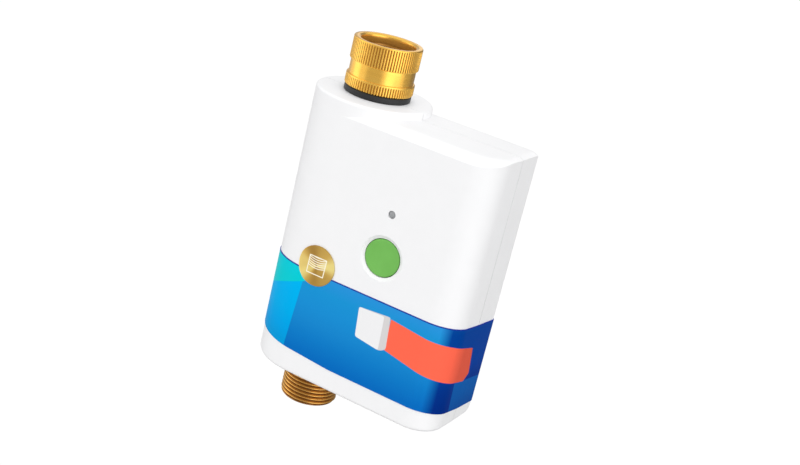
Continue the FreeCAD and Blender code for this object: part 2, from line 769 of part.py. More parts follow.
WASHER_LOW = "-(washer_gap + washer_thickness)"
FLANGE_LOW = "-(washer_gap + washer_thickness + flange_thickness)"
NECK_END = "(body_rise - socket_depth - valve_drop)"
turned_piece("inlet_washer", [
    ("washer_bore", WASHER_LOW), ("washer_radius", WASHER_LOW),
    ("washer_radius", "-washer_gap"), ("washer_bore", "-washer_gap")])
turned_piece("inlet_neck", [
    ("port_radius", NECK_END), ("neck_radius", NECK_END),
    ("neck_radius", "body_rise - valve_drop"),
    ("socket_radius - 1", "body_rise - valve_drop"),
    ("socket_radius - 1", "body_rise - valve_drop + 5"),
    ("neck_radius", "body_rise - valve_drop + 6.5"),
    ("neck_radius", FLANGE_LOW), ("flange_radius", FLANGE_LOW),
    ("flange_radius", WASHER_LOW), ("port_radius", WASHER_LOW)])
screen_holes = []
for column in range(-2, 3):
    for row in range(-2, 3):
        if abs(column + row) > 2:
            continue
        hole = doc.addObject("Part::Prism", f"screen_hole_{len(screen_holes)}")
        hole.Polygon = 6
        bind(hole, Circumradius="screen_hole_radius", Height="3 * screen_thickness")
        screen_holes.append(place(hole, x=f"screen_hole_pitch * ({column} + {row} / 2)",
                                  y=f"screen_hole_pitch * {row} * sqrt(3) / 2",
                                  z=f"{WASHER_LOW} - screen_thickness",
                                  turn=FreeCAD.Rotation(FreeCAD.Vector(0, 0, 1), 30)))
screen_disc = rod("screen_disc", "washer_bore - seat_gap", "screen_thickness", z=WASHER_LOW)
piece(cut("filter_screen_cut", screen_disc, screen_holes), "filter_screen")
RING_TOP = "-(nut_fall + ring_gap)"
turned_piece("neck_seal", [
    ("neck_radius + seat_gap / 2", f"{BOX_TOP} - housing_wall / 4"),
    ("collar_hole_radius - seat_gap / 2", f"{BOX_TOP} - housing_wall / 4"),
    ("collar_hole_radius - seat_gap / 2", "-collar_drop"),
    ("ring_radius - 0.3", "-collar_drop"),
    ("ring_radius", "-collar_drop + 0.3"),
    ("ring_radius", f"{RING_TOP} - 0.3"),
    ("ring_radius - 0.3", RING_TOP),
    ("neck_radius + seat_gap / 2", RING_TOP)])

# Ball valve, drawn about the ball's centre
valve = new_body("valve_body_form")
turn_profile(valve, "valve_outer", [
    ("0", "-body_fall"), ("socket_radius + 1.6", "-body_fall"),
    ("socket_radius + 1.6", "-body_fall + 7"), ("barrel_radius", "-body_fall + 9"),
    ("barrel_radius", "seat_far"), ("socket_radius - 1", "seat_far + 4"),
    ("socket_radius - 1", "body_rise"), ("0", "body_rise")])
boss_sketch = sketch_on(valve, "boss_outline", "YZ_Plane")
draw_circle(boss_sketch, "boss_radius")
feature(valve, "Pad", boss_sketch, Length="boss_reach")
hex_sketch = sketch_on(valve, "hex_outline", "XY_Plane", z="body_rise - hex_height")
draw_polygon(hex_sketch, [(f"hex_flats / 2 / cos(30) * cos({60 * step})",
                           f"hex_flats / 2 / cos(30) * sin({60 * step})") for step in range(6)])
feature(valve, "Pad", hex_sketch, Length="hex_height")
turn_profile(valve, "valve_bore", [
    ("0", "-body_fall"), ("chamber_radius", "-body_fall"), ("chamber_radius", "seat_far"),
    ("port_radius", "seat_far"), ("port_radius", "body_rise - socket_depth"),
    ("neck_radius + stem_gap", "body_rise - socket_depth"),
    ("neck_radius + stem_gap", "body_rise"), ("0", "body_rise")], kind="Groove")
stem_hole = sketch_on(valve, "stem_hole", "YZ_Plane", z="boss_reach")
draw_circle(stem_hole, "stem_radius + stem_gap")
feature(valve, "Pocket", stem_hole, Length="boss_reach")
piece(place(valve, z="-valve_drop"), "valve_body")

ball_space = doc.addObject("Part::Sphere", "ball_space")
bind(ball_space, Radius="ball_radius + ball_gap")
place(ball_space, z="-valve_drop")
seats = []
for name, low in (("upper_seat", "seat_near - valve_drop"), ("lower_seat", "-seat_far - valve_drop")):
    ring = rod(name + "_ring", "chamber_radius - seat_gap / 2", "seat_far - seat_near", z=low)
    port = rod(name + "_port", "port_radius", "3 * seat_far", z=f"{low} - seat_far")
    seats.append(cut(name, ring, [ball_space, port]))
piece(group("seat_ring_pair", seats), "seat_rings")

STEM_TIP = "(ball_radius - slot_depth + stem_gap)"
ball = doc.addObject("Part::Sphere", "ball_sphere")
bind(ball, Radius="ball_radius")
place(ball, z="-valve_drop")
ball_port = rod("ball_port", "port_radius", "4 * ball_radius", y="-2 * ball_radius", z="-valve_drop",
                turn=TO_REAR)
ball_slot = box("ball_slot", ("ball_radius - slot_depth", "2 * ball_radius"),
                ("-2 * ball_radius", "2 * ball_radius"),
                ("-valve_drop - slot_width / 2", "-valve_drop + slot_width / 2"))
piece(cut("valve_ball_cut", ball, [ball_port, ball_slot]), "valve_ball")

STEM_END = f"({DRIVE_LEFT} + drive_gear_width)"
stem = new_body("valve_stem_form")
turn_profile(stem, "stem_profile", [
    ("0", STEM_TIP), ("stem_radius", STEM_TIP),
    ("stem_radius", "boss_reach - 2 * seal_pitch - seal_width"),
    ("stem_radius - seal_groove_depth", "boss_reach - 2 * seal_pitch - seal_width"),
    ("stem_radius - seal_groove_depth", "boss_reach - 2 * seal_pitch"),
    ("stem_radius", "boss_reach - 2 * seal_pitch"),
    ("stem_radius", "boss_reach - seal_pitch - seal_width"),
    ("stem_radius - seal_groove_depth", "boss_reach - seal_pitch - seal_width"),
    ("stem_radius - seal_groove_depth", "boss_reach - seal_pitch"),
    ("stem_radius", "boss_reach - seal_pitch"),
    ("stem_radius", DRIVE_LEFT), ("stem_end_radius", DRIVE_LEFT),
    ("stem_end_radius", STEM_END), ("0", STEM_END)])
place(stem, z="-valve_drop", turn=TO_RIGHT)
tang_cuts = [box(f"tang_cut_{side}", (f"{STEM_TIP} - 1", "ball_radius + ball_gap"),
                 ("-2 * stem_radius", "2 * stem_radius"), (low, high))
             for side, low, high in (
                 ("upper", "-valve_drop + slot_width / 2 - stem_gap", "-valve_drop + 2 * stem_radius"),
                 ("lower", "-valve_drop - 2 * stem_radius", "-valve_drop - slot_width / 2 + stem_gap"))]
flat_cut = box("flat_cut", (DRIVE_LEFT, f"{STEM_END} + 1"), ("-2 * stem_radius", "2 * stem_radius"),
               ("-valve_drop + stem_end_radius * 0.7", "-valve_drop + 2 * stem_radius"))
screw_bore = rod("screw_bore", "board_screw_radius + seat_gap / 2", "6", x=f"{STEM_END} - 6",
                 z="-valve_drop", turn=TO_RIGHT)
piece(cut("valve_stem_cut", stem, tang_cuts + [flat_cut, screw_bore]), "valve_stem")
stem_seals = []
for number in (1, 2):
    high = f"boss_reach - {number} * seal_pitch"
    seal = new_body(f"stem_seal_{number}")
    turn_profile(seal, f"stem_seal_{number}_profile", [
        ("stem_radius - seal_groove_depth", f"{high} - seal_width + 0.2"),
        ("stem_radius - 0.2", f"{high} - seal_width + 0.1"),
        ("stem_radius", f"{high} - seal_width / 2"),
        ("stem_radius - 0.2", f"{high} - 0.1"),
        ("stem_radius - seal_groove_depth", f"{high} - 0.2")])
    stem_seals.append(place(seal, z="-valve_drop", turn=TO_RIGHT))
piece(group("stem_seal_pair", stem_seals), "stem_seals")

# Outlet: the nipple screws into the valve, a flange inside the housing holds it down
SPIGOT_TOP = "-(valve_drop + seat_far)"
VALVE_LOW = "-(valve_drop + body_fall)"
CLAMP_LOW = f"{BASE} + housing_wall + outlet_seal_height"
THREAD_END = f"{BASE} - outlet_reach"
turned_piece("outlet_nipple", [
    ("port_radius", SPIGOT_TOP), ("chamber_radius - seat_gap / 2", SPIGOT_TOP),
    ("chamber_radius - seat_gap / 2", VALVE_LOW), ("clamp_flange_radius - 1", VALVE_LOW),
    ("clamp_flange_radius - 1", f"{VALVE_LOW} - 3"), ("outlet_tube_radius", f"{VALVE_LOW} - 4.5"),
    ("outlet_tube_radius", f"{CLAMP_LOW} + clamp_flange_height"),
    ("clamp_flange_radius", f"{CLAMP_LOW} + clamp_flange_height"),
    ("clamp_flange_radius", CLAMP_LOW), ("outlet_tube_radius", CLAMP_LOW),
    ("outlet_tube_radius", f"{BASE} - 0.4"), ("outlet_thread_radius", f"{BASE} - 1.2"),
    ("outlet_thread_radius", f"{THREAD_END} + 1"), ("outlet_thread_radius - 1", THREAD_END),
    ("outlet_mouth_radius", THREAD_END),
    ("outlet_mouth_radius", f"{THREAD_END} + outlet_mouth_depth"),
    ("port_radius", f"{THREAD_END} + outlet_mouth_depth + 2")])
turned_piece("outlet_seal", [
    ("outlet_tube_radius + seat_gap", f"{BASE} + housing_wall"),
    ("clamp_flange_radius", f"{BASE} + housing_wall"),
    ("clamp_flange_radius", CLAMP_LOW), ("outlet_tube_radius + seat_gap", CLAMP_LOW)])

# Gears: involute teeth of 20 degrees, one outline for each wheel
PRESSURE_ANGLE = math.radians(20)


def gear_solid(teeth, width, half_pitch_turn):
    """A toothed disc on the Z axis, with a tooth or a space centred on the X axis."""
    module = value("gear_module")
    pitch = module * teeth / 2
    base = pitch * math.cos(PRESSURE_ANGLE)
    root = pitch - 1.2 * module
    tip = pitch + 0.9 * module
    flank = math.tan(PRESSURE_ANGLE) - PRESSURE_ANGLE
    half_tooth = math.pi / (2 * teeth) - value("gear_backlash") / (2 * pitch)

    def half_angle(radius):
        pressure = math.acos(min(1, base / radius))
        return half_tooth + flank - (math.tan(pressure) - pressure)

    start = max(base, root)
    radii = [start, (start + pitch) / 2, pitch, (pitch + tip) / 2, tip]
    corners = []
    for tooth in range(teeth):
        centre = 2 * math.pi * (tooth + half_pitch_turn) / teeth
        rising = [(root, centre - half_angle(start))] + [
            (radius, centre - half_angle(radius)) for radius in radii if radius > root]
        falling = [(radius, 2 * centre - angle) for radius, angle in reversed(rising)]
        corners += rising + falling
    points = [FreeCAD.Vector(radius * math.cos(angle), radius * math.sin(angle), 0)
              for radius, angle in corners]
    wire = Part.makePolygon(points + points[:1])
    return Part.Face(wire).extrude(FreeCAD.Vector(0, 0, width))


def keep_shape(name, shape, x, z):
    """A finished shape whose axis lies along X at a place."""
    made = doc.addObject("Part::Feature", name)
    made.Shape = shape
    return place(made, x=x, z=z, turn=TO_RIGHT)


drive_wheel = keep_shape("drive_wheel", gear_solid(int(value("drive_teeth")),
                                                   value("drive_gear_width"), 0),
                         DRIVE_LEFT, "-valve_drop")
drive_bore = cut("drive_bore", rod("drive_bore_round", "stem_end_radius + seat_gap / 4",
                                   "drive_gear_width + 2", x=f"{DRIVE_LEFT} - 1", z="-valve_drop",
                                   turn=TO_RIGHT),
                 [box("drive_bore_flat", (f"{DRIVE_LEFT} - 2", f"{STEM_END} + 2"),
                      ("-2 * stem_radius", "2 * stem_radius"),
                      ("-valve_drop + stem_end_radius * 0.7 + seat_gap / 4",
                       "-valve_drop + 2 * stem_radius"))])
lightening = [rod(f"lightening_{step}", "2.2", "drive_gear_width + 2", x=f"{DRIVE_LEFT} - 1",
                  y=f"7.2 * cos({60 * step + 30})", z=f"-valve_drop + 7.2 * sin({60 * step + 30})",
                  turn=TO_RIGHT) for step in range(6)]
piece(cut("drive_gear_cut", drive_wheel, [drive_bore] + lightening), "drive_gear")
screw_body = new_body("gear_screw_body")
turn_profile(screw_body, "gear_screw_profile", [
    ("0", "-5.5"), ("board_screw_radius", "-5.5"), ("board_screw_radius", "0"),
    ("stem_end_radius + 0.6", "0"), ("stem_end_radius + 0.6", "0.5"), ("stem_radius * 0.6", "0.5"),
    ("stem_radius * 0.5", "1.6"), ("0", "1.6")])
piece(place(screw_body, x=STEM_END, z="-valve_drop", turn=TO_RIGHT), "gear_screw")

IDLER_LEFT = f"({FRAME_LEFT} + frame_thickness + 0.5)"
idler_wheels = join("idler_wheels", [
    keep_shape("idler_small", gear_solid(int(value("small_teeth")),
                                         value(f"{LARGE_LEFT} - {IDLER_LEFT} + 0.2"), 0.5),
               IDLER_LEFT, f"-{IDLER_DROP}"),
    keep_shape("idler_large", gear_solid(int(value("idler_large_teeth")),
                                         value("large_idler_width"), 0),
               LARGE_LEFT, f"-{IDLER_DROP}")])
idler_bore = rod("idler_bore", "pin_radius + pin_gap", "30", x=f"{IDLER_LEFT} - 5",
                 z=f"-{IDLER_DROP}", turn=TO_RIGHT)
piece(cut("idler_gear_cut", idler_wheels, [idler_bore]), "idler_gear")
PIN_LENGTH = f"{PLATE_LEFT} + plate_thickness - {FRAME_LEFT}"
piece(rod("idler_pin", "pin_radius", PIN_LENGTH, x=FRAME_LEFT, z=f"-{IDLER_DROP}", turn=TO_RIGHT),
      "idler_shaft")
pinion_wheel = keep_shape("pinion_wheel", gear_solid(int(value("small_teeth")),
                                                     value("large_idler_width + 0.6"), 0.5),
                          f"{LARGE_LEFT} - 0.3", f"-{MOTOR_DROP}")
pinion_bore = rod("pinion_bore", "pin_radius", "10", x=f"{LARGE_LEFT} - 2", z=f"-{MOTOR_DROP}",
                  turn=TO_RIGHT)
piece(cut("motor_pinion_cut", pinion_wheel, [pinion_bore]), "motor_pinion")
MOTOR_LEFT = f"({PLATE_LEFT} + plate_thickness)"
piece(rod("motor_shaft_rod", "pin_radius", f"{MOTOR_LEFT} + 2 - {LARGE_LEFT} + 0.3",
          x=f"{LARGE_LEFT} - 0.3", z=f"-{MOTOR_DROP}", turn=TO_RIGHT), "motor_shaft")

# Frame and plate that hold the gear train, with pillars between them
FRAME_TOP = "(frame_rise - valve_drop)"
PILLARS = [("0", f"{FRAME_TOP} - pillar_radius - 0.3"),
           ("frame_half_depth - pillar_radius", f"{FRAME_LOW} + pillar_radius"),
           ("-(frame_half_depth - pillar_radius)", f"{FRAME_LOW} + pillar_radius")]


def frame_outline(name, left, thickness):
    """The frame's side outline, narrower at the top where it meets the stem."""
    body = new_body(name)
    sketch = sketch_on(body, name + "_outline", "YZ_Plane", z=left)
    draw_polygon(sketch, [
        ("-frame_half_depth", FRAME_LOW), ("frame_half_depth", FRAME_LOW),
        ("frame_half_depth", f"{FRAME_TOP} - 8"), ("frame_half_depth - 8", FRAME_TOP),
        ("-(frame_half_depth - 8)", FRAME_TOP), ("-frame_half_depth", f"{FRAME_TOP} - 8")])
    feature(body, "Pad", sketch, Length=thickness)
    return body


frame_plate = frame_outline("frame_plate", FRAME_LEFT, "frame_thickness")
pillars = [rod(f"pillar_{number}", "pillar_radius", f"{PLATE_LEFT} - {FRAME_LEFT}", x=FRAME_LEFT,
               y=y, z=z, turn=TO_RIGHT) for number, (y, z) in enumerate(PILLARS)]
pillar_holes = [rod(f"pillar_hole_{number}", "board_screw_radius + seat_gap / 2", "7",
                    x=f"{PLATE_LEFT} - 6", y=y, z=z, turn=TO_RIGHT)
                for number, (y, z) in enumerate(PILLARS)]
stem_opening = rod("stem_opening", "boss_radius + seat_gap", "10", x=f"{FRAME_LEFT} - 3",
                   z="-valve_drop", turn=TO_RIGHT)
pin_seat = rod("pin_seat", "pin_radius", "10", x=f"{FRAME_LEFT} - 3", z=f"-{IDLER_DROP}",
               turn=TO_RIGHT)
piece(cut("gear_frame_cut", join("gear_frame_solid", [frame_plate] + pillars),
          pillar_holes + [stem_opening, pin_seat]), "gear_frame")
motor_sheet = frame_outline("motor_sheet", PLATE_LEFT, "plate_thickness")
motor_opening = rod("motor_opening", "motor_boss_radius + seat_gap", "10", x=f"{PLATE_LEFT} - 3",
                    z=f"-{MOTOR_DROP}", turn=TO_RIGHT)
plate_pin_seat = rod("plate_pin_seat", "pin_radius", "10", x=f"{PLATE_LEFT} - 3",
                     z=f"-{IDLER_DROP}", turn=TO_RIGHT)
MOTOR_SCREWS = [("motor_screw_offset", f"-{MOTOR_DROP}"), ("-motor_screw_offset", f"-{MOTOR_DROP}")]
plate_holes = [rod(f"plate_hole_{number}", "board_screw_radius + seat_gap", "10",
                   x=f"{PLATE_LEFT} - 3", y=y, z=z, turn=TO_RIGHT)
               for number, (y, z) in enumerate(PILLARS + MOTOR_SCREWS)]
piece(cut("motor_plate_cut", motor_sheet, [motor_opening, plate_pin_seat] + plate_holes),
      "motor_plate")


def side_screws(label, places, seat, reach, turn):
    """Small screws along X."""
    screws = []
    for number, (y, z) in enumerate(places):
        body = new_body(f"{label}_{number}")
        turn_profile(body, f"{label}_{number}_profile", [
            ("0", f"-({reach})"), ("board_screw_radius", f"-({reach})"), ("board_screw_radius", "0"),
            ("board_screw_radius * 1.9", "0"), ("board_screw_radius * 1.9", "1"), ("0", "1")])
        screws.append(place(body, x=seat, y=y, z=z, turn=turn))
    return piece(group(label + "_set", screws), label)


TO_LEFT = FreeCAD.Rotation(FreeCAD.Vector(0, 1, 0), -90)
side_screws("frame_screws", PILLARS, MOTOR_LEFT, "plate_thickness + 5", TO_RIGHT)
side_screws("motor_screws", MOTOR_SCREWS, PLATE_LEFT, "plate_thickness + 1.5", TO_LEFT)

# Motor: a can with two flats, a shaft boss in front and a moulded end cap
can = shared("motor_can_form", [
    rod("can_round", "motor_radius", "motor_length", x=MOTOR_LEFT, z=f"-{MOTOR_DROP}", turn=TO_RIGHT),
    box("can_flats", (MOTOR_LEFT, f"{MOTOR_LEFT} + motor_length"), ("-motor_radius", "motor_radius"),
        (f"-{MOTOR_DROP} - motor_half_height", f"-{MOTOR_DROP} + motor_half_height"))])
can_boss = rod("can_boss", "motor_boss_radius", "plate_thickness + 0.1", x=PLATE_LEFT,
               z=f"-{MOTOR_DROP}", turn=TO_RIGHT)
can_bore = rod("can_bore", "pin_radius + pin_gap", "plate_thickness + 4", x=f"{PLATE_LEFT} - 1",
               z=f"-{MOTOR_DROP}", turn=TO_RIGHT)
can_holes = [rod(f"can_hole_{number}", "board_screw_radius + seat_gap / 2", "2", x=MOTOR_LEFT,
                 y=y, z=z, turn=TO_RIGHT) for number, (y, z) in enumerate(MOTOR_SCREWS)]
piece(cut("motor_can_cut", join("motor_can_solid", [can, can_boss]), [can_bore] + can_holes),
      "motor_can")
CAP_LEFT = f"({MOTOR_LEFT} + motor_length)"
endcap = shared("endcap_form", [
    rod("endcap_round", "motor_radius - 0.6", "endcap_length", x=CAP_LEFT, z=f"-{MOTOR_DROP}",
        turn=TO_RIGHT),
    box("endcap_flats", (CAP_LEFT, f"{CAP_LEFT} + endcap_length"),
        ("-motor_radius", "motor_radius"),
        (f"-{MOTOR_DROP} - motor_half_height + 0.6", f"-{MOTOR_DROP} + motor_half_height - 0.6"))])
endcap_boss = rod("endcap_boss", "motor_boss_radius", "endcap_length + 1.4", x=CAP_LEFT,
                  z=f"-{MOTOR_DROP}", turn=TO_RIGHT)
piece(join("motor_endcap_solid", [endcap, endcap_boss]), "motor_endcap")

# Button with its plunger, and the light
button = new_body("button_form")
turn_profile(button, "button_profile", [
    ("0", "-(housing_wall + button_gap + button_flange_height + 0.3)"),
    ("button_flange_radius", "-(housing_wall + button_gap + button_flange_height + 0.3)"),
    ("button_flange_radius", "-(housing_wall + button_gap + 0.1)"),
    ("button_radius", "-(housing_wall + button_gap + 0.1)"),
    ("button_radius", "-button_sink - 0.5"),
    ("button_radius - 0.4", "-button_sink - 0.1"),
    ("button_radius * 0.7", "-button_sink - 0.02"), ("0", "-button_sink")])
piece(place(button, x="button_offset", y=FRONT, z="button_level", turn=TO_FRONT), "button_cap")
PLUNGER_TOP = "(housing_wall + button_gap + button_flange_height + 0.3 + 0.05)"
SWITCH_TOP = "(board_depth - switch_height)"
piece(rod("plunger_rod", "plunger_radius", f"{SWITCH_TOP} - {PLUNGER_TOP} + 0.6", x="button_offset",
          y=f"{FRONT} + {PLUNGER_TOP}", z="button_level", turn=TO_REAR), "switch_plunger")
switch_block = box("switch_block",
                   ("button_offset - switch_half_width", "button_offset + switch_half_width"),
                   (f"{FRONT} + {SWITCH_TOP}", BOARD_FRONT),
                   ("button_level - switch_half_width", "button_level + switch_half_width"))
switch_bore = rod("switch_bore", "plunger_radius + button_gap", "board_depth", x="button_offset",
                  y=f"{FRONT} + {SWITCH_TOP} - 1", z="button_level", turn=TO_REAR)
piece(cut("tact_switch_cut", switch_block, [switch_bore]), "tact_switch")
pipe_body = new_body("light_pipe_form")
turn_profile(pipe_body, "light_pipe_profile", [
    ("0", "-(board_depth - 1.3)"), ("light_radius", "-(board_depth - 1.3)"),
    ("light_radius", "-(housing_wall + 0.9)"), ("light_flange_radius", "-(housing_wall + 0.9)"),
    ("light_flange_radius", "-housing_wall"), ("light_radius", "-housing_wall"),
    ("light_radius", "-0.25"), ("light_radius - 0.2", "-0.1"), ("0", "-0.1")])
piece(place(pipe_body, x="button_offset", y=FRONT, z="light_level", turn=TO_FRONT), "light_pipe")
piece(box("led_block", ("button_offset - 1.6", "button_offset + 1.6"),
          (f"{BOARD_FRONT} - 1", BOARD_FRONT), ("light_level - 0.8", "light_level + 0.8")),
      "status_led")

# Circuit board with a shielded radio module, a connector and a few parts
board = plate_body("board_plate", "board_left", "board_right", "board_low", "board_top",
                   f"{BOARD_FRONT} + board_thickness", "board_thickness", "1.5")
board_clear = [rod(f"board_clear_{number}", "board_screw_radius + hole_clearance", "6", x=x,
                   y=f"{BOARD_FRONT} - 2", z=z, turn=TO_REAR)
               for number, (x, z) in enumerate(BOARD_SCREWS)]
piece(cut("circuit_board_cut", board, board_clear), "circuit_board")
piece(box("radio_box", ("board_right - 19", "board_right - 3"), (f"{BOARD_FRONT} - 2.4", BOARD_FRONT),
          ("board_top - 20", "board_top - 6")), "radio_module")
chips = [box(f"chip_{number}", (f"board_right - {x + width}", f"board_right - {x}"),
             (f"{BOARD_FRONT} - {rise}", BOARD_FRONT),
             (f"board_top - {z + height}", f"board_top - {z}"))
         for number, (x, width, z, height, rise) in enumerate((
             (6, 7, 28, 7, 1.2), (15, 4, 30, 5, 1.0), (4, 9, 40, 5, 2.6), (14, 5, 50, 3, 1.4)))]
piece(group("board_part_group", chips), "board_parts")

# Batteries: four cells in an open holder behind the board, with contact plates at both ends
holder_body = box("holder_block", ("holder_left", "holder_right"), ("holder_front", "holder_rear"),
                  ("holder_low", "holder_top"))
holder_space = box("holder_space", ("holder_left + holder_wall", "holder_right - holder_wall"),
                   ("holder_front + holder_wall", "box_rear"),
                   ("holder_low + holder_wall", "holder_top - holder_wall"))
piece(cut("battery_holder_cut", holder_body, [holder_space]), "battery_holder")
CELLS = [(f"holder_left + holder_wall + holder_gap + cell_radius + {column} * cell_pitch",
          f"holder_front + holder_wall + holder_gap / 2 + cell_radius + {row} * cell_pitch",
          (column + row) % 2) for column in (0, 1) for row in (0, 1)]
CELL_LOW = "(holder_low + holder_wall + contact_room)"
CELL_TOP = "(holder_top - holder_wall - contact_room)"
TO_DOWN = FreeCAD.Rotation(FreeCAD.Vector(1, 0, 0), 180)
cells = []
contacts = []
for number, (x, y, flipped) in enumerate(CELLS):
    cell = new_body(f"cell_{number}")
    turn_profile(cell, f"cell_{number}_profile", [
        ("0", "0"), ("cell_radius - 0.5", "0"), ("cell_radius", "0.5"),
        ("cell_radius", "cell_length - 0.8"), ("cell_radius - 0.8", "cell_length"),
        ("cell_nub_radius", "cell_length"), ("cell_nub_radius", "cell_length + cell_nub_height"),
        ("0", "cell_length + cell_nub_height")])
    cells.append(place(cell, x, y, CELL_TOP if flipped else CELL_LOW, TO_DOWN if flipped else UP))
    for end, (level, turn) in enumerate(((CELL_LOW, UP), (CELL_TOP, TO_DOWN))):
        contact = doc.addObject("Part::Cone", f"contact_{number}_{end}")
        bind(contact, Radius1="cell_radius - 2", Radius2="cell_nub_radius - 0.7",
             Height="contact_room")
        rise = f"{level} + contact_room" if turn is TO_DOWN else f"{level} - contact_room"
        contacts.append(place(contact, x, y, rise, turn))
piece(group("cell_group", cells), "battery_cells")
piece(group("contact_group", contacts), "battery_contacts")

# Printed sleeve round the housing, trimmed to edges that fall to the rear and a foot that falls to the
# right, and the round sticker that bridges its top edge
SLEEVE_HIGH = f"({BOX_TOP} - sleeve_fall)"
SLEEVE_LOW = f"({SLEEVE_HIGH} - sleeve_height)"


def trim_block(name, plane, corners, length, **where):
    """A block with a given outline from the side or the front, for trimming the sleeve."""
    body = new_body(name)
    sketch = sketch_on(body, name + "_outline", plane)
    draw_polygon(sketch, corners)
    feature(body, "Pad", sketch, Length=length)
    return place(body, **where)


sleeve_ring = cut("sleeve_ring", housing_form("sleeve_outer", "-film_thickness"),
                  [housing_form("sleeve_inner", "0")])
sleeve_depth = trim_block("sleeve_depth", "YZ_Plane",
                          [("-(column_radius + 1)", SLEEVE_LOW),
                           ("column_radius + 1", f"{SLEEVE_LOW} - sleeve_foot_fall"),
                           ("column_radius + 1", f"{SLEEVE_HIGH} - sleeve_top_fall"),
                           ("-(column_radius + 1)", SLEEVE_HIGH)],
                          "box_right + 4 * column_radius", x="-2 * column_radius")
sleeve_width = trim_block("sleeve_width", "XZ_Plane",
                          [("-(column_radius + 2)", f"{SLEEVE_LOW} + sleeve_left_rise"),
                           ("box_right + 2", f"{SLEEVE_LOW} - sleeve_right_fall"),
                           ("box_right + 2", SLEEVE_HIGH),
                           ("-(column_radius + 2)", SLEEVE_HIGH)],
                          "4 * column_radius", y="2 * column_radius")
piece(shared("printed_sleeve_trim", [sleeve_ring, sleeve_depth, sleeve_width]), "printed_sleeve")
badge_outer = band_form("badge_outer", "-2 * film_thickness", SLEEVE_LOW, "2 * sleeve_height")
badge_inner = band_form("badge_inner", "-film_thickness", f"{SLEEVE_LOW} - 1", "2 * sleeve_height + 2")
badge_rod = rod("badge_rod", "badge_radius", "column_radius", x="badge_offset",
                y="-2 * column_radius", z=f"{SLEEVE_HIGH} + badge_rise", turn=TO_REAR)
badge_skin = shared("badge_skin", [badge_outer, badge_rod])
piece(cut("badge_disc_cut", badge_skin, [badge_inner]), "badge_disc")

doc.recompute()

# Every object and every finished solid has to be sound before anything is written
for thing in doc.Objects:
    if {"Invalid", "Error"} & set(thing.State):
        raise RuntimeError(f"{thing.Name} failed: {thing.State}")
for thing in pieces:
    if thing.Shape.isNull() or not thing.Shape.isValid() or not thing.Shape.Solids:
        raise RuntimeError(f"{thing.Label} has no sound solid")

os.makedirs("parts", exist_ok=True)
for thing in pieces:
    thing.Shape.exportStep(f"parts/{thing.Label}.step")
    print(thing.Label, len(thing.Shape.Solids), "solid", round(thing.Shape.Volume, 1), "mm3")
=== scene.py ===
import math

import bmesh
import bpy
from mathutils import Matrix, Vector


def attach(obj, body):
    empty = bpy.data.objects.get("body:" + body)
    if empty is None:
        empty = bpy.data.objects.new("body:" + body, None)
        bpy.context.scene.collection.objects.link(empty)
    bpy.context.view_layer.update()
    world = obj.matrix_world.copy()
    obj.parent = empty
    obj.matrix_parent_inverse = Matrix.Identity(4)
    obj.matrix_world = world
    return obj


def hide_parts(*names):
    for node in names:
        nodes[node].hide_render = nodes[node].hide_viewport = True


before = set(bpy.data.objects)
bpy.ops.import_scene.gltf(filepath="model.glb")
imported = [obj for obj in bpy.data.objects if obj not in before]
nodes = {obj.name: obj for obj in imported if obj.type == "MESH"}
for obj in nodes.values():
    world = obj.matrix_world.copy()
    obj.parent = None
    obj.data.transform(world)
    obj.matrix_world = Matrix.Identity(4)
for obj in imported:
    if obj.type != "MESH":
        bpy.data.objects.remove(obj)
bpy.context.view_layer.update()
MM = 0.001

# Camera at the photograph's viewing angle, rolled as the picture is
CAMERA_TARGET = Vector((26.75, 0.0, -67.96)) * MM
CAMERA_DISTANCE = 603.4 * MM
CAMERA_AZIMUTH = math.radians(24.9)
CAMERA_ELEVATION = math.radians(19.12)
CAMERA_ROLL = math.radians(13.8)
CAMERA_LENS = 61.12
CAMERA_SENSOR = 36
CAMERA_CLIP = (0.01, 50)

# Body sizes in millimetres, as the source has them
COLUMN_RADIUS = 26.2
COLUMN_SHIFT = 0.8
BOX_RIGHT = 75.0
SIDE_DRAFT = 0.8
BOX_REAR = 16.2
PARTING = -2.2
FRONT_CORNER = 13.5
REAR_CORNER = 3.0
HEEL_START = -132.5
HEEL_RADIUS = 9.0

# How grain is stretched along X, Y and Z, and what every noise and its two tones share
EVEN = (1, 1, 1)
TURNED = (0.12, 0.12, 1.0)
BRUSHED = (1, 1, 0.2)
NOISE_ROUGHNESS = 0.55
TONE_START = 0.35
TONE_END = 0.65

# Sockets of a colour mix, where several share one name
MIX_BELOW = 6
MIX_OVER = 7
MIX_RESULT = 2


def add_object(name, data):
    """An object of the scene for a mesh, a lamp or the camera."""
    made = bpy.data.objects.new(name, data)
    bpy.context.scene.collection.objects.link(made)
    return made


def add_camera():
    """The camera, placed from its target, angles and distance."""
    back = Vector((math.sin(CAMERA_AZIMUTH) * math.cos(CAMERA_ELEVATION),
                   -math.cos(CAMERA_AZIMUTH) * math.cos(CAMERA_ELEVATION),
                   math.sin(CAMERA_ELEVATION)))
    right = Vector((math.cos(CAMERA_AZIMUTH), math.sin(CAMERA_AZIMUTH), 0))
    up = back.cross(right)
    side = right * math.cos(CAMERA_ROLL) + up * math.sin(CAMERA_ROLL)
    top = up * math.cos(CAMERA_ROLL) - right * math.sin(CAMERA_ROLL)
    data = bpy.data.cameras.new("camera")
    data.lens = CAMERA_LENS
    data.sensor_width = CAMERA_SENSOR
    data.clip_start, data.clip_end = CAMERA_CLIP
    camera = add_object("camera", data)
    camera.matrix_world = (Matrix.Translation(CAMERA_TARGET + back * CAMERA_DISTANCE)
                           @ Matrix((side, top, back)).transposed().to_4x4())
    bpy.context.scene.camera = camera


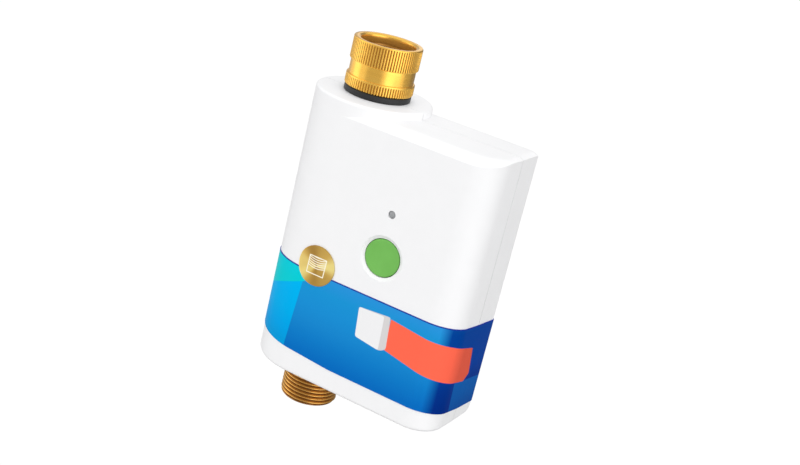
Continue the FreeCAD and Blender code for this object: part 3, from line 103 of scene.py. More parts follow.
def linear(red, green, blue):
    """A screen colour, 0 to 255, as the linear colour that a shader takes."""
    parts = []
    for part in (red, green, blue):
        share = part / 255
        parts.append(share / 12.92 if share <= 0.04045 else ((share + 0.055) / 1.055) ** 2.4)
    return (*parts, 1.0)


class Finish:
    """A material with its shader, and short ways to add the nodes that feed it."""

    def __init__(self, name, colour, roughness, metallic=0.0, **sockets):
        self.material = bpy.data.materials.new(name)
        self.material.use_nodes = True
        self.tree = self.material.node_tree
        self.shader = self.tree.nodes["Principled BSDF"]
        self.material.diffuse_color = linear(*colour)
        self.set("Base Color", linear(*colour))
        self.set("Roughness", roughness)
        self.set("Metallic", metallic)
        for socket, amount in sockets.items():
            self.set(socket.replace("_", " "), amount)

    def set(self, socket, amount):
        self.shader.inputs[socket].default_value = amount

    def feed(self, socket, source):
        self.tree.links.new(source, self.shader.inputs[socket])

    def show(self, source):
        """Another shader's result on the surface, in place of the main shader's."""
        output = next(node for node in self.tree.nodes if node.type == "OUTPUT_MATERIAL")
        self.tree.links.new(source, output.inputs["Surface"])

    def node(self, kind, **settings):
        """A node with its attributes set and its sockets filled or linked."""
        made = self.tree.nodes.new(kind)
        links = settings.pop("links", {})
        values = settings.pop("values", {})
        for key, setting in settings.items():
            setattr(made, key, setting)
        for socket, amount in values.items():
            made.inputs[socket].default_value = amount
        for socket, source in links.items():
            self.tree.links.new(source, made.inputs[socket])
        return made

    def place(self, stretch):
        """Coordinates on the object in metres, stretched for grain that runs one way."""
        where = self.node("ShaderNodeTexCoord").outputs["Object"]
        if stretch == EVEN:
            return where
        scaled = self.node("ShaderNodeVectorMath", operation="MULTIPLY",
                           values={1: stretch}, links={0: where})
        return scaled.outputs[0]

    def noise(self, size, detail=3.0, stretch=EVEN):
        """Noise whose patches are about size millimetres across."""
        return self.node("ShaderNodeTexNoise",
                         values={"Scale": 1 / (size * MM), "Detail": detail,
                                 "Roughness": NOISE_ROUGHNESS},
                         links={"Vector": self.place(stretch)}).outputs[0]

    def ramp(self, factor, *stops):
        """Colours along a factor, as pairs of a position and a screen colour."""
        made = self.node("ShaderNodeValToRGB", links={0: factor})
        elements = made.color_ramp.elements
        while len(elements) < len(stops):
            elements.new(0.5)
        for element, (position, colour) in zip(elements, stops):
            element.position = position
            element.color = linear(*colour)
        return made.outputs[0]

    def spread(self, factor, low, high, start=0.3, end=0.7):
        """A factor mapped to a range of one number."""
        return self.node("ShaderNodeMapRange", values={1: start, 2: end, 3: low, 4: high},
                         links={0: factor}).outputs[0]

    def over(self, below, colour, mask):
        """A colour laid over another where the mask is 1."""
        mixed = self.node("ShaderNodeMix", data_type="RGBA", links={0: mask})
        for socket, part in ((MIX_BELOW, below), (MIX_OVER, colour)):
            if isinstance(part, tuple):
                mixed.inputs[socket].default_value = linear(*part)
            else:
                self.tree.links.new(part, mixed.inputs[socket])
        return mixed.outputs[MIX_RESULT]

    def mark(self):
        """The amount from 0 to 1 that a mesh carries: painted shade in the recesses of the brass, or
        the share down the sleeve band for its top edge line.
        """
        return self.node("ShaderNodeAttribute", attribute_name="Mark").outputs["Fac"]

    def tones(self, colour, other, size, **options):
        """A colour that drifts between two close tones."""
        return self.ramp(self.noise(size, **options), (TONE_START, colour), (TONE_END, other))

    def gloss(self, low, high, size, **options):
        """Roughness that varies over the surface."""
        self.feed("Roughness", self.spread(self.noise(size, **options), low, high))

    def relief(self, height, depth):
        """Bump from a height of 0 to 1 that stands for depth millimetres."""
        bump = self.node("ShaderNodeBump", values={"Strength": 1.0, "Distance": depth * MM},
                         links={"Height": height})
        self.feed("Normal", bump.outputs[0])


class Artwork(Finish):
    """Printed colour laid out in millimetres across and up, from the mesh's own flat map."""

    def __init__(self, *settings, **sockets):
        super().__init__(*settings, **sockets)
        flat = self.node("ShaderNodeUVMap", uv_map="Flat").outputs[0]
        parts = self.node("ShaderNodeSeparateXYZ", links={0: flat})
        self.across = self.math("MULTIPLY", parts.outputs[0], 1 / MM)
        self.high = self.math("MULTIPLY", parts.outputs[1], 1 / MM)

    def math(self, operation, *parts):
        """One step of arithmetic on numbers and on the results of other steps."""
        made = self.node("ShaderNodeMath", operation=operation)
        for place, part in zip(made.inputs, parts):
            if isinstance(part, (int, float)):
                place.default_value = part
            else:
                self.tree.links.new(part, place)
        return made.outputs[0]

    def reach(self, start, end):
        """How far a point lies to the left of a line from start to end."""
        length = math.dist(start, end)
        side = (start[1] - end[1]) / length
        rise = (end[0] - start[0]) / length
        rest = self.math("MULTIPLY_ADD", self.high, rise, -side * start[0] - rise * start[1])
        return self.math("MULTIPLY_ADD", self.across, side, rest)

    def within(self, corners, rounding=0.5, soft=0.12):
        """1 inside a shape whose corners run anticlockwise, with its corners rounded, else 0."""
        inside = self.reach(corners[-1], corners[0])
        for start, end in zip(corners, corners[1:]):
            inside = self.math("SMOOTH_MIN", inside, self.reach(start, end), rounding)
        return self.spread(inside, 0.0, 1.0, -soft, soft)

    def fall(self, *stops):
        """Colours down the sleeve, as pairs of a height and a colour from the top."""
        high, low = stops[0][0], stops[-1][0]
        share = self.spread(self.high, 1.0, 0.0, low, high)
        return self.ramp(share, *[((high - height) / (high - low), colour)
                                  for height, colour in stops])


def grained(name, colour, other, roughness, grain=0.35, depth=0.012, **sockets):
    """Moulded plastic or rubber: fine spark-eroded grain and faint tone changes."""
    finish = Finish(name, colour, roughness, **sockets)
    finish.feed("Base Color", finish.tones(colour, other, 9.0, detail=2.0))
    finish.gloss(roughness - 0.04, roughness + 0.06, 4.0)
    finish.relief(finish.noise(grain, detail=2.0), depth)
    return finish.material


def metal(name, colour, other, roughness):
    """Rolled, pressed or plated metal with a very fine even grain."""
    finish = Finish(name, colour, roughness, metallic=1.0)
    finish.feed("Base Color", finish.tones(colour, other, 6.0))
    finish.gloss(roughness - 0.05, roughness + 0.08, 1.2)
    finish.relief(finish.noise(0.25), 0.004)
    return finish.material


def brass(name, colour, other, recess_shade, roughness):
    """Turned brass with painted shade in its recesses: where the mesh marks them, its colour is darker
    and duller.
    """
    finish = Finish(name, colour, roughness, metallic=1.0)
    face = finish.tones(colour, other, 5.0, stretch=TURNED)
    mark = finish.mark()
    # The mark lays painted shade: darker, less metallic brass in flute valleys, thread roots and down
    # the nut's mouth
    finish.feed("Base Color", finish.over(face, recess_shade, mark))
    finish.feed("Metallic", finish.spread(mark, 1.0, 0.35, 0.0, 1.0))
    finish.gloss(roughness - 0.03, roughness + 0.05, 1.2, stretch=TURNED)
    finish.relief(finish.noise(0.25, stretch=TURNED), 0.003)
    return finish.material


finishes = {
    "housing_white": grained("white_plastic", (242, 242, 243), (241, 241, 242), 0.46, grain=0.22,
                             depth=0.005, IOR=1.36),
    "seal_grey": grained("grey_seal", (76, 79, 82), (66, 69, 72), 0.62),
    "screw_steel": metal("screw_steel", (186, 188, 190), (160, 162, 165), 0.32),
    # The third colour of each brass is painted shade for its marked recesses
    "brass_bright": brass("turned_brass", (246, 194, 90), (242, 188, 84), (158, 104, 36), 0.24),
    "brass_cast": brass("dark_brass", (226, 172, 90), (216, 160, 80), (126, 80, 26), 0.22),
    "rubber_black": grained("black_rubber", (15, 16, 18), (19, 20, 22), 0.5, grain=0.3, depth=0.01),
    "steel_bright": metal("bright_steel", (205, 206, 208), (182, 184, 188), 0.22),
    "seat_white": grained("seat_plastic", (238, 238, 232), (229, 229, 224), 0.36),
    "ball_chrome": metal("chromed_ball", (222, 224, 228), (206, 209, 214), 0.08),
    "gear_natural": grained("gear_plastic", (232, 226, 208), (222, 214, 194), 0.4),
    "frame_black": grained("black_frame", (40, 42, 45), (48, 50, 53), 0.48),
    "button_green": grained("green_cap", (114, 185, 86), (110, 180, 82), 0.44, grain=0.25,
                            depth=0.004, IOR=1.3),
    "light_grey": grained("light_window", (158, 160, 162), (146, 148, 151), 0.22, depth=0.002),
    "led_white": grained("lamp_body", (240, 240, 232), (228, 228, 216), 0.3),
    "board_green": grained("board_lacquer", (24, 92, 58), (18, 78, 48), 0.3, grain=1.4, depth=0.01),
    "cell_wrap": grained("cell_wrap", (52, 84, 64), (44, 74, 56), 0.28, grain=3.0, depth=0.01),
    "sleeve_blue": grained("sleeve_film", (20, 110, 205), (16, 100, 196), 0.3),
    "badge_gold": metal("gold_foil", (206, 172, 84), (190, 152, 62), 0.3),
}
for node in nodes.values():
    for place in node.material_slots:
        place.material = finishes[place.material.name.split(".")[0]]


def add_mesh(name, points, faces, slot, body, replaced, sharp, material=None, uvs=None, marks=None):
    """A piece for a replaced node, from points in millimetres, smooth up to a sharp angle.

    uvs has a place on the flat map for each corner of each face, marks an amount for each point."""
    mesh = bpy.data.meshes.new(name)
    mesh.from_pydata([Vector(point) * MM for point in points], [], faces)
    if uvs:
        layer = mesh.uv_layers.new(name="Flat")
        for loop, place in zip(layer.data, uvs):
            loop.uv = Vector(place) * MM
    if marks:
        mesh.attributes.new("Mark", "FLOAT", "POINT").data.foreach_set("value", marks)
    work = bmesh.new()
    work.from_mesh(mesh)
    bmesh.ops.recalc_face_normals(work, faces=work.faces)
    work.to_mesh(mesh)
    work.free()
    mesh.shade_smooth()
    mesh.set_sharp_from_angle(angle=math.radians(sharp))
    mesh.materials.append(material or finishes[slot])
    made = add_object(name, mesh)
    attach(made, body)
    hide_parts(replaced)
    return made


def ring_faces(rings, around, closed):
    """Faces between rings of points, and from the last ring back to the first where closed."""
    faces = []
    for ring in range(rings if closed else rings - 1):
        after = (ring + 1) % rings
        for step in range(around):
            turn = (step + 1) % around
            faces.append((ring * around + step, ring * around + turn,
                          after * around + turn, after * around + step))
    return faces


def end_faces(rings, around):
    """One face over the first ring of points and one over the last."""
    last = (rings - 1) * around
    return [tuple(range(around)), tuple(range(last, last + around))]


def lathe(rings, around, radius_at=None, capped=False):
    """Points and faces of a profile turned about the Z axis: a closed ring, or capped at both ends.

    A ring is (radius, height) or (radius, height, share): radius_at lowers the shares of a ring."""
    points = []
    for radius, height, *share in rings:
        for step in range(around):
            angle = math.tau * step / around
            reach = radius_at(radius, height, share[0], step, angle) if share else radius
            points.append((reach * math.cos(angle), reach * math.sin(angle), height))
    faces = ring_faces(len(rings), around, closed=not capped)
    if capped:
        faces += end_faces(len(rings), around)
    return points, faces


def smooth(low, high, amount):
    """0 below low, 1 above high, and an eased step between them."""
    share = min(max((amount - low) / (high - low), 0.0), 1.0)
    return share * share * (3 - 2 * share)


THREAD_PITCH = 1.814


def thread_wave(height, turn):
    """1 on a thread's crests and 0 in its valleys, at a height and a share of a turn."""
    return 0.5 + 0.5 * math.cos(math.tau * (height / THREAD_PITCH + turn))


# Swivel nut: two fluted bands, a smooth groove between them, a rolled lip and the hose thread
NUT_RADIUS = 15.35
NUT_GROOVE_RADIUS = 14.55
NUT_FOOT = -9.2
NUT_TOP = 12.0
FLUTES = 78
FLUTE_STEPS = 8
FLUTE_DEPTH = 0.55
FLUTE_LAND = 0.4
FLUTED_HEIGHTS = ((-9.0, -5.0), (2.3, 11.55))
MOUTH_RADIUS = 13.8
# Painted shade down inside the nut's mouth: where it starts, how far it takes to grow, and how strong
# it is
MOUTH_SHADE_FROM = 11.4
MOUTH_SHADE_FALL = 2.2
MOUTH_PAINTED_SHADE = 0.9
NUT_THREAD_TOP = 8.4
NUT_THREAD_MINOR = 12.06
NUT_THREAD_DEPTH = 1.0
NUT_THREAD_LEAD = 1.2
NUT_THREAD_EASE = 0.14
NUT_THREAD_STEPS = 8

# Profile rings of the nut; a share above 0 has flutes, one below 0 the thread, and LEAST has hardly any
LEAST = 0.001
NUT_LOW_BAND = [(10.0, NUT_FOOT), (13.2, NUT_FOOT), (14.7, NUT_FOOT, 0.6), (15.1, -9.1, 1.0),
                (NUT_RADIUS, -8.75, 1.0), (NUT_RADIUS, -7.0, 1.0), (NUT_RADIUS, -5.35, 1.0),
                (NUT_RADIUS, -5.15, 0.7), (NUT_RADIUS, -4.95, 0.25), (NUT_RADIUS, -4.75, LEAST),
                (15.3, -4.5), (15.15, -4.3), (14.95, -4.2)]
NUT_GROOVE = [(14.62, -4.2), (NUT_GROOVE_RADIUS, -4.12), (NUT_GROOVE_RADIUS, -1.0),
              (NUT_GROOVE_RADIUS, 2.02), (14.62, 2.1)]
NUT_HIGH_BAND = [(14.85, 2.1, 0.4), (15.15, 2.18, 1.0), (NUT_RADIUS, 2.45, 1.0),
                 (NUT_RADIUS, 6.0, 1.0), (NUT_RADIUS, 11.1, 1.0), (NUT_RADIUS, 11.3, 0.75),
                 (NUT_RADIUS, 11.45, 0.3), (NUT_RADIUS, 11.55, LEAST)]
NUT_LIP = [(15.3, 11.75), (15.18, 11.9), (15.0, NUT_TOP), (14.2, NUT_TOP), (13.5, NUT_TOP),
           (13.35, 11.96), (13.2, 11.9), (12.5, 11.5), (12.3, 11.36), (12.24, 11.2), (12.22, 9.8),
           (12.2, 8.6)]
NUT_SEAT = [(12.61, 0.0), (12.61, -5.0), (12.4, -5.2), (10.0, -5.2)]


def nut_radius(radius, height, share, step, angle):
    """Flutes on the outside where share is above 0, the thread inside where it is below 0."""
    if share > 0:
        across = abs(2 * (step % FLUTE_STEPS) / FLUTE_STEPS - 1)
        return radius - share * FLUTE_DEPTH * smooth(FLUTE_LAND, 1.0, across)
    return radius - share * NUT_THREAD_DEPTH * thread_wave(height, -angle / math.tau)


def nut_mark(x, y, z):
    """How much painted shade a point gets: how far it lies in a flute, or down inside the mouth."""
    radius = math.hypot(x, y)
    if radius < MOUTH_RADIUS:
        return MOUTH_PAINTED_SHADE * smooth(0.0, 1.0, (MOUTH_SHADE_FROM - z) / MOUTH_SHADE_FALL)
    if any(low < z < high for low, high in FLUTED_HEIGHTS):
        return min(max(NUT_RADIUS - radius, 0.0) / FLUTE_DEPTH, 1.0)
    return 0.0


def add_nut():
    """The nut's profile, with rings down its thread, turned and marked for painted shade."""
    rings = NUT_LOW_BAND + NUT_GROOVE + NUT_HIGH_BAND + NUT_LIP
    for step in range(int(NUT_THREAD_TOP / THREAD_PITCH * NUT_THREAD_STEPS)):
        drop = step * THREAD_PITCH / NUT_THREAD_STEPS
        fade = smooth(0, NUT_THREAD_LEAD, drop)
        radius = NUT_THREAD_MINOR + (1 - fade) * NUT_THREAD_EASE
        rings.append((radius, NUT_THREAD_TOP - drop, -LEAST - fade))
    rings += NUT_SEAT
    points, faces = lathe(rings, FLUTES * FLUTE_STEPS, nut_radius)
    return add_mesh("fluted_nut", points, faces, "brass_bright", "swivel_nut", "inlet_nut", 32,
                    marks=[nut_mark(*point) for point in points])


# The nut and what it holds throw no yellow light and no grey veil on the white collar
for piece in (add_nut(), nodes["inlet_neck"], nodes["inlet_washer"], nodes["filter_screen"]):
    piece.visible_diffuse = False

# Outlet nipple: clamping flange inside, and below the housing a rounded pipe thread
NIPPLE_BORE = 7.5
NIPPLE_MOUTH = 9.6
NIPPLE_PIPE = 12.2
NIPPLE_CREST = 13.22
NIPPLE_DEPTH = 1.15
NIPPLE_ROUNDING = 0.8
NIPPLE_CHAMFER = 0.95
# Depths below the crests over which painted shade grows in the thread's roots
NIPPLE_MARKED = (0.1, 0.85)
THREAD_START = -142.4
THREAD_FOOT = -161.1
NIPPLE_STEPS = 12
NIPPLE_AROUND = 160
NIPPLE_TOP = [(NIPPLE_BORE, -101.0), (12.15, -101.0), (12.15, -112.0), (14.4, -112.0),
              (14.4, -115.0), (NIPPLE_PIPE, -116.5), (NIPPLE_PIPE, -135.3), (15.4, -135.3),
              (15.4, -137.5), (NIPPLE_PIPE, -137.5), (NIPPLE_PIPE, -142.3)]
NIPPLE_END = [(10.0, THREAD_FOOT), (9.7, -160.95), (NIPPLE_MOUTH, -160.7), (NIPPLE_MOUTH, -153.1),
              (NIPPLE_BORE, -151.1)]


def nipple_radius(radius, height, share, step, angle):
    """Rounded crests, drawn in at the housing and at the chamfered end."""
    wave = thread_wave(height, angle / math.tau)
    crest = NIPPLE_CREST - NIPPLE_DEPTH * (1 - wave ** NIPPLE_ROUNDING)
    end_limit = NIPPLE_CREST - max(0.0, NIPPLE_CHAMFER - (height - THREAD_FOOT))
    start_limit = NIPPLE_PIPE + max(0.0, THREAD_START - height)
    return min(crest, end_limit, start_limit)


def nipple_mark(x, y, z):
    """How much painted shade a point of the thread gets, by how far it lies below its crests; the plain
    pipe above it has no mark.
    """
    if z < THREAD_START:
        return smooth(*NIPPLE_MARKED, (NIPPLE_CREST - math.hypot(x, y)) / NIPPLE_DEPTH)
    return 0.0


def add_nipple():
    """The pipe's profile, with rings down its thread, turned and marked for painted shade in the
    thread's roots.
    """
    rows = int((THREAD_START - THREAD_FOOT) / THREAD_PITCH * NIPPLE_STEPS)
    thread = [(NIPPLE_CREST, THREAD_START + (THREAD_FOOT - THREAD_START) * row / rows, 1.0)
              for row in range(rows + 1)]
    points, faces = lathe(NIPPLE_TOP + thread + NIPPLE_END, NIPPLE_AROUND, nipple_radius)
    add_mesh("threaded_nipple", points, faces, "brass_cast", "controller", "outlet_nipple", 60,
             marks=[nipple_mark(*point) for point in points])


add_nipple()

# Button cap and light window, turned about an axis through the front; heights are depths behind it
FRONT_FACE = -COLUMN_RADIUS
FRONT_AROUND = 96
BUTTON_CENTRE = (33.3, -72.2)
LIGHT_CENTRE = (33.3, -52.0)
CAP_RINGS = [(4.0, 0.7), (6.0, 0.63), (7.4, 0.53), (7.8, 0.51), (8.1, 0.56), (8.28, 0.68),
             (8.38, 0.86), (8.4, 1.1), (8.4, 2.7), (10.1, 2.7), (10.2, 2.8), (10.2, 3.7), (4.0, 3.7)]
WINDOW_RINGS = [(0.3, 0.12), (0.8, 0.16), (1.2, 0.26), (1.45, 0.4), (1.6, 0.56), (1.66, 0.75),
                (1.66, 2.4), (2.6, 2.4), (2.6, 3.3), (1.7, 3.3), (1.7, 4.4), (0.3, 4.4)]


def add_front_piece(name, rings, centre, slot, body, replaced):
    """A capped turned piece, laid with its axis from front to back at a centre across and up."""
    points, faces = lathe(rings, FRONT_AROUND, capped=True)
    laid = [(centre[0] + x, FRONT_FACE + depth, centre[1] + y) for x, y, depth in points]
    add_mesh(name, laid, faces, slot, body, replaced, 40)


add_front_piece("dished_cap", CAP_RINGS, BUTTON_CENTRE, "button_green", "push_button", "button_cap")
add_front_piece("domed_window", WINDOW_RINGS, LIGHT_CENTRE, "light_grey", "controller", "light_pipe")

# Printed sleeve: a thin band that follows the housing, with its length round the body in its map
FILM = 0.3
SLEEVE_TOP = -90.5
SLEEVE_LOW = -131.4
SLEEVE_TOP_FALL = 5.2
SLEEVE_FOOT_FALL = 6.3
SLEEVE_LEFT_RISE = 3.5
SLEEVE_RIGHT_FALL = 4.2
SLEEVE_MARGIN = 1
SLEEVE_DEPTH = 2 * (COLUMN_RADIUS + SLEEVE_MARGIN)
SLEEVE_WIDTH = BOX_RIGHT + COLUMN_RADIUS + 4 * SLEEVE_MARGIN
SLEEVE_ROWS = 24
BOX_START = COLUMN_RADIUS * 0.8
COLUMN_STEPS = 120
FRONT_STEPS = 12
FRONT_CORNER_STEPS = 28
REAR_CORNER_STEPS = 10
REAR_STEPS = 8


def arc(centre, radius, start, end, steps):
    """Points on an arc, angles in degrees; a start above the end goes round the left side."""
    made = []
    if start > end:
        end += 360
    for step in range(steps + 1):
        angle = math.radians(start + (end - start) * step / steps)
        made.append((centre[0] + radius * math.cos(angle), centre[1] + radius * math.sin(angle)))
    return made


def body_outline(offset):
    """The housing from above, drawn out by an offset, from the rear valley round the column."""
    radius = COLUMN_RADIUS + offset
    rear = BOX_REAR + offset
    right = BOX_RIGHT + offset
    valley = math.degrees(math.asin(rear / radius))
    lean = math.atan2(SIDE_DRAFT, radius + PARTING)
    corner = FRONT_CORNER + offset
    foot = right - SIDE_DRAFT - corner * math.tan((math.pi / 2 - lean) / 2)
    back_corner = REAR_CORNER + offset
    outline = arc((-COLUMN_SHIFT, 0), radius, valley, -90, COLUMN_STEPS)
    outline += [(foot * step / FRONT_STEPS, -radius) for step in range(FRONT_STEPS)]
    outline += arc((foot, corner - radius), corner, -90, -math.degrees(lean), FRONT_CORNER_STEPS)
    outline += [(right, PARTING)]
    outline += arc((right - back_corner, rear - back_corner), back_corner, 0, 90, REAR_CORNER_STEPS)
    reach = math.cos(math.radians(valley)) * radius - COLUMN_SHIFT
    start = right - back_corner
    outline += [(start + (reach - start) * step / REAR_STEPS, rear) for step in range(1, REAR_STEPS)]
    return outline


def along(outline):
    """How far each point lies round the body to the right of the column's front, in millimetres."""
    front = (-COLUMN_SHIFT, -COLUMN_RADIUS)
    start = min(range(len(outline)), key=lambda index: math.dist(outline[index], front))
    lengths = [0.0] * len(outline)
    for index in range(start + 1, len(outline)):
        lengths[index] = lengths[index - 1] + math.dist(outline[index], outline[index - 1])
    for index in range(start - 1, -1, -1):
        lengths[index] = lengths[index + 1] - math.dist(outline[index], outline[index + 1])
    return lengths


def sleeve_edges(x, y):
    """Heights of the band's top and foot at a place in plan: both fall to the rear."""
    back = (y + COLUMN_RADIUS + SLEEVE_MARGIN) / SLEEVE_DEPTH
    across = (x + COLUMN_RADIUS + 2 * SLEEVE_MARGIN) / SLEEVE_WIDTH
    foot = SLEEVE_LOW + SLEEVE_LEFT_RISE - across * (SLEEVE_LEFT_RISE + SLEEVE_RIGHT_FALL)
    return SLEEVE_TOP - back * SLEEVE_TOP_FALL, max(SLEEVE_LOW - back * SLEEVE_FOOT_FALL, foot)


def at_heel(y, height, offset):
    """How far back the box reaches at a height, where its rear edge is rounded at the base."""
    drop = max(HEEL_START - height, 0.0)
    radius = HEEL_RADIUS + offset
    return min(y, BOX_REAR - HEEL_RADIUS + math.sqrt(radius ** 2 - drop ** 2))


def add_sleeve(material):
    """The band: an outer and an inner face in rows, and two thin edges."""
    outer = body_outline(FILM)
    inner = body_outline(0.0)
    lengths = along(outer)
    lengths.append(lengths[-1] + math.dist(outer[-1], outer[0]))
    shares = [row / SLEEVE_ROWS for row in range(SLEEVE_ROWS + 1)]
    points = []
    marks = []
    for ring, offset, downward in ((outer, FILM, shares), (inner, 0.0, shares[::-1])):
        for share in downward:
            for (x, y), (far, back) in zip(ring, outer):
                high, low = sleeve_edges(far, back)
                height = high + (low - high) * share
                reach = at_heel(y, height, offset) if x > BOX_START else y
                points.append((x, reach, height))
                marks.append(share * (high - low) / (SLEEVE_TOP - SLEEVE_LOW))
    count = len(outer)
    faces = ring_faces(2 * len(shares), count, closed=True)
    uvs = []
    for number, face in enumerate(faces):
        start = number % count
        for place, corner in zip((start, start + 1, start + 1, start), face):
            uvs.append((lengths[place], points[corner][2]))
    add_mesh("label_band", points, faces, "sleeve_blue", "controller", "printed_sleeve", 30,
             material=material, uvs=uvs, marks=marks)


# Fields of the sleeve's print: corners across and up in millimetres, and where the darkening round the
# front-right corner starts and ends: for the navy partly print and partly painted shade, for the coral
# painted shade
CYAN_FIELD = [(-60, -85), (-60, -145), (-4.6, -145), (0.4, -85)]
TEAL_FIELD = [(-60, -85), (-60, -122.8), (0.4, -96.3), (2.5, -85)]
FACET_FIELD = [(84.2, -118.6), (86.2, -142), (240, -142), (240, -140), (112, -122.2)]
CORAL_STRIP = [(45.6, -96.3), (45.6, -110.9), (92.6, -120.0), (96.8, -117.2), (93.6, -103.8),
               (76, -99.6)]
TILE = [(29.4, -96.9), (30.6, -110.6), (43.4, -112.4), (46.4, -110.6), (45.2, -95.6)]
TILE_FACE = [(29.4, -96.9), (30.6, -110.6), (42.9, -112.3), (42.2, -96.4)]
STRIP_ROUNDING = 0.8
TILE_ROUNDING = 1.6
NAVY_PRINT_AND_CORNER_SHADE = (69.0, 74.5)
CORAL_CORNER_SHADE = (78.0, 86.0)
EDGE_LINE = (0.008, 0.016)


def print_label():
    """Blue film in bold fields, a coral strip that runs round the corner and a blank white tile."""
    film = Artwork("printed_film", (20, 120, 200), 0.34, IOR=1.06)
    colour = film.fall((-90, (44, 146, 218)), (-98, (27, 146, 211)), (-106, (26, 141, 210)),
                       (-113, (24, 134, 205)), (-121, (15, 122, 198)), (-131, (7, 104, 188)))
    teal = film.fall((-90, (9, 206, 222)), (-98, (9, 205, 212)))
    cyan = film.fall((-98, (0, 180, 242)), (-112, (1, 174, 236)), (-121, (1, 162, 230)),
                     (-130, (4, 150, 214)))
    navy = film.fall((-90, (3, 74, 158)), (-94, (0, 64, 150)), (-112, (0, 61, 152)),
                     (-121, (1, 51, 137)), (-131, (0, 43, 129)))
    facet = film.fall((-119, (10, 92, 171)), (-126, (5, 88, 167)), (-137, (4, 70, 150)))
    colour = film.over(colour, cyan, film.within(CYAN_FIELD))
    colour = film.over(colour, teal, film.within(TEAL_FIELD))
    # Navy over the film as it turns round the front-right corner: partly the print's navy, partly
    # painted shade
    colour = film.over(colour, navy, film.spread(film.across, 0.0, 1.0, *NAVY_PRINT_AND_CORNER_SHADE))
    colour = film.over(colour, facet, film.within(FACET_FIELD))
    colour = film.over(colour, (30, 52, 150), film.spread(film.mark(), 1.0, 0.0, *EDGE_LINE))
    # The coral darkens where the strip turns round the corner: painted shade
    coral = film.over((255, 106, 80), (222, 90, 68), film.spread(film.across, 0.0, 1.0, *CORAL_CORNER_SHADE))
    colour = film.over(colour, coral, film.within(CORAL_STRIP, rounding=STRIP_ROUNDING))
    colour = film.over(colour, (214, 211, 211), film.within(TILE, rounding=TILE_ROUNDING))
    colour = film.over(colour, (239, 239, 240), film.within(TILE_FACE, rounding=TILE_ROUNDING))
    film.feed("Base Color", colour)
    film.gloss(0.3, 0.36, 5.0)
    film.relief(film.noise(6.0, detail=1.0), 0.02)
    return film.material


add_sleeve(print_label())

# Sticker: a thin foil disc on the column's front, following its curve; rings are radius and offset
BADGE_CENTRE = (3.7, -87.3)
BADGE_STEPS = 96
BADGE_RINGS = [(0.4, 0.56), (3.0, 0.56), (6.0, 0.56), (8.2, 0.56), (8.9, 0.58), (9.15, 0.57),
               (9.27, 0.53), (9.3, 0.46), (9.3, 0.34), (9.2, 0.3), (6.0, 0.3), (3.0, 0.3), (0.4, 0.3)]
DRAWING_FRAME = [(-4.3, 4.3), (-4.5, -4.3), (4.5, -4.3), (4.8, 4.3)]
DRAWING_CORE = [(-3.85, 3.85), (-4.05, -3.85), (4.05, -3.85), (4.3, 3.85)]
DRAWING_SOFT = 0.08
RIB_LINE = (0.12, 0.26)
RIB_LOWEST = (-1.6, -1.5)
RIB_BOW = -0.05


def add_badge(material):
    """The disc's rings from the middle of its face over the rim to the middle of its back."""
    points = []
    spots = []
    for radius, offset in BADGE_RINGS:
        for step in range(BADGE_STEPS):
            angle = math.tau * step / BADGE_STEPS
            x = BADGE_CENTRE[0] + radius * math.cos(angle)
            z = BADGE_CENTRE[1] + radius * math.sin(angle)
            round_part = min(x + COLUMN_SHIFT, 0.0)
            points.append((x, -math.sqrt((COLUMN_RADIUS + offset) ** 2 - round_part ** 2), z))
            spots.append((x - BADGE_CENTRE[0], z - BADGE_CENTRE[1]))
    faces = end_faces(len(BADGE_RINGS), BADGE_STEPS)
    faces += ring_faces(len(BADGE_RINGS), BADGE_STEPS, closed=False)
    add_mesh("foil_badge", points, faces, "badge_gold", "controller", "badge_disc", 40,
             material=material, uvs=[spots[index] for face in faces for index in face])


def print_foil():
    """Brushed foil with a painted sheen that shines in sectors, with a plain line drawing of a ribbed
    pipe end.
    """
    foil = Artwork("gold_foil", (206, 172, 90), 0.34, metallic=0.55)
    # Painted sheen: the gold goes lighter and darker in sectors round the disc's middle, as a
    # reflection would
    turn = foil.math("ARCTAN2", foil.high, foil.across)
    waves = foil.math("SINE", foil.math("MULTIPLY_ADD", turn, 2.0, 0.9))
    fine = foil.math("SINE", foil.math("MULTIPLY_ADD", turn, 5.0, 0.4))
    painted_sheen = foil.math("MULTIPLY_ADD", fine, 0.3, waves)
    gold = foil.ramp(foil.spread(painted_sheen, 0.0, 1.0, -1.2, 1.2),
                     (0.0, (166, 126, 50)), (0.55, (204, 166, 80)), (1.0, (236, 216, 132)))
    inside = foil.within(DRAWING_FRAME, rounding=0.5, soft=DRAWING_SOFT)
    core = foil.within(DRAWING_CORE, rounding=0.4, soft=DRAWING_SOFT)
    bow = foil.math("MULTIPLY", foil.math("MULTIPLY", foil.across, foil.across), RIB_BOW)
    level = foil.math("ADD", foil.high, bow)
    rib = foil.math("PINGPONG", foil.math("ADD", level, 0.2), 0.5)
    ribs = foil.math("MULTIPLY", foil.spread(rib, 1.0, 0.0, *RIB_LINE),
                     foil.spread(level, 0.0, 1.0, *RIB_LOWEST))
    hollow = foil.math("SUBTRACT", core, foil.math("MULTIPLY", core, ribs))
    lines = foil.math("SUBTRACT", inside, hollow)
    foil.feed("Base Color", foil.over(gold, (252, 246, 222), lines))
    foil.feed("Metallic", foil.spread(lines, 0.55, 0.0, 0.0, 1.0))
    foil.gloss(0.3, 0.4, 2.0)
    foil.relief(foil.noise(0.5, stretch=BRUSHED), 0.002)
    return foil.material


add_badge(print_foil())

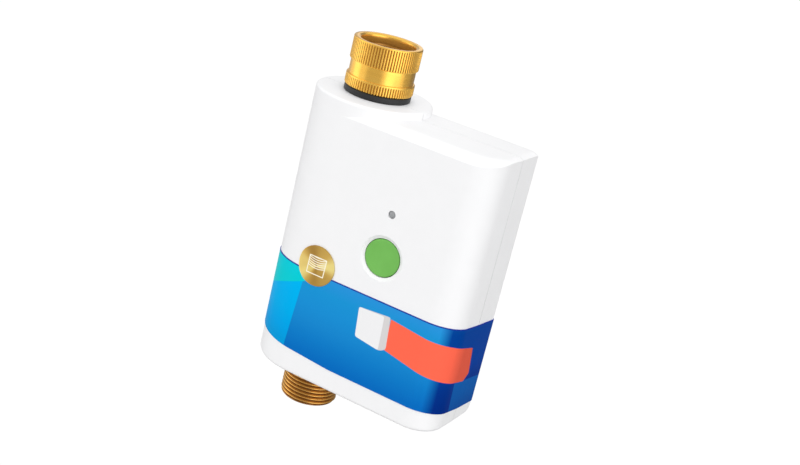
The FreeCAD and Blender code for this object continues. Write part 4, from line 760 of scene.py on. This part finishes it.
# Studio: white all round, a pale floor far below, soft lamps, and cards for the brass to reflect
LAMP_AIM = Vector((26.75, 0.0, -70.0)) * MM
FLOOR_DROP = -400.0 * MM
FLOOR_HALF = 12.0
FLOOR_GREY = (150, 150, 150)
FLOOR_GLOW = 0.68
CARD_RADIUS = 500.0
CARD_NEAR = 0.1
CARD_FOOT = -395.0
CARD_TOP = 380.0
TALL_CARD_TOP = 900.0
CARD_STEPS = 16


def add_lamp(name, where, side, power):
    """A soft square lamp: its place in millimetres, its side in metres, its power in watts."""
    data = bpy.data.lights.new(name, "AREA")
    data.shape = "SQUARE"
    data.size = side
    data.energy = power
    lamp = add_object(name, data)
    lamp.location = Vector(where) * MM
    lamp.rotation_mode = "QUATERNION"
    lamp.rotation_quaternion = (LAMP_AIM - lamp.location).to_track_quat("-Z", "Y")


def add_world():
    """Plain white all round, behind the object, in its reflections and as its soft light."""
    world = bpy.data.worlds.new("studio")
    bpy.context.scene.world = world
    world.use_nodes = True
    background = world.node_tree.nodes["Background"]
    background.inputs["Color"].default_value = (1, 1, 1, 1)
    background.inputs["Strength"].default_value = 1.0


def background_rays(finish):
    """1 for rays that show the floor white: the camera's own, and those off gloss or through glass."""
    path = finish.node("ShaderNodeLightPath")
    seen = path.outputs["Is Camera Ray"]
    for ray in ("Is Glossy Ray", "Is Transmission Ray"):
        either = finish.node("ShaderNodeMath", operation="MAXIMUM",
                             links={0: seen, 1: path.outputs[ray]})
        seen = either.outputs[0]
    return seen


def add_floor():
    """A wide floor, pale to the camera, that keeps the object's shadow and throws little light up."""
    finish = Finish("pale_floor", FLOOR_GREY, 0.9)
    glow = finish.node("ShaderNodeEmission", values={"Strength": FLOOR_GLOW})
    none = finish.node("ShaderNodeEmission", values={"Strength": 0.0})
    choice = finish.node("ShaderNodeMixShader", links={0: background_rays(finish),
                                                       1: none.outputs[0], 2: glow.outputs[0]})
    total = finish.node("ShaderNodeAddShader", links={0: finish.shader.outputs[0],
                                                      1: choice.outputs[0]})
    finish.show(total.outputs[0])
    mesh = bpy.data.meshes.new("floor")
    corners = ((-1, -1), (1, -1), (1, 1), (-1, 1))
    mesh.from_pydata([(x * FLOOR_HALF, y * FLOOR_HALF, FLOOR_DROP) for x, y in corners], [],
                     [(0, 1, 2, 3)])
    mesh.materials.append(finish.material)
    floor = add_object("floor", mesh)


def add_card(name, start, end, level, top=CARD_TOP):
    """A glowing card that only reflections show, over the floor and up: angles are from the front."""
    outline = arc((0, 0), CARD_RADIUS, start - 90, end - 90, CARD_STEPS)
    points = []
    for share, height in ((CARD_NEAR, CARD_FOOT), (1.0, CARD_FOOT), (1.0, top)):
        points += [(x * share * MM, y * share * MM, height * MM) for x, y in outline]
    count = len(outline)
    mesh = bpy.data.meshes.new(name)
    mesh.from_pydata(points, [], [(row * count + step, row * count + step + 1,
                                   (row + 1) * count + step + 1, (row + 1) * count + step)
                                  for row in range(2) for step in range(count - 1)])
    finish = Finish(name, (0, 0, 0), 1.0)
    glow = finish.node("ShaderNodeEmission", values={"Strength": level})
    finish.show(glow.outputs[0])
    mesh.materials.append(finish.material)
    card = add_object(name, mesh)
    card.visible_camera = False
    card.visible_diffuse = False
    card.visible_shadow = False
    card.visible_transmission = False


bpy.context.scene.view_settings.view_transform = "Standard"
add_camera()
add_world()
add_floor()
add_lamp("front_lamp", (0, -850, 50), side=0.8, power=2.6)
add_lamp("right_lamp", (800, -150, 200), side=0.7, power=1.5)
add_card("front_card", -26, 32, level=0.6, top=TALL_CARD_TOP)
add_card("right_white", 44, 96, level=2.0, top=TALL_CARD_TOP)
add_card("right_card", 112, 145, level=0.5)
add_card("rear_card", 145, 196, level=0.3)
add_card("left_card", -150, -110, level=0.6)
add_card("left_white", -84, -54, level=1.8, top=TALL_CARD_TOP)
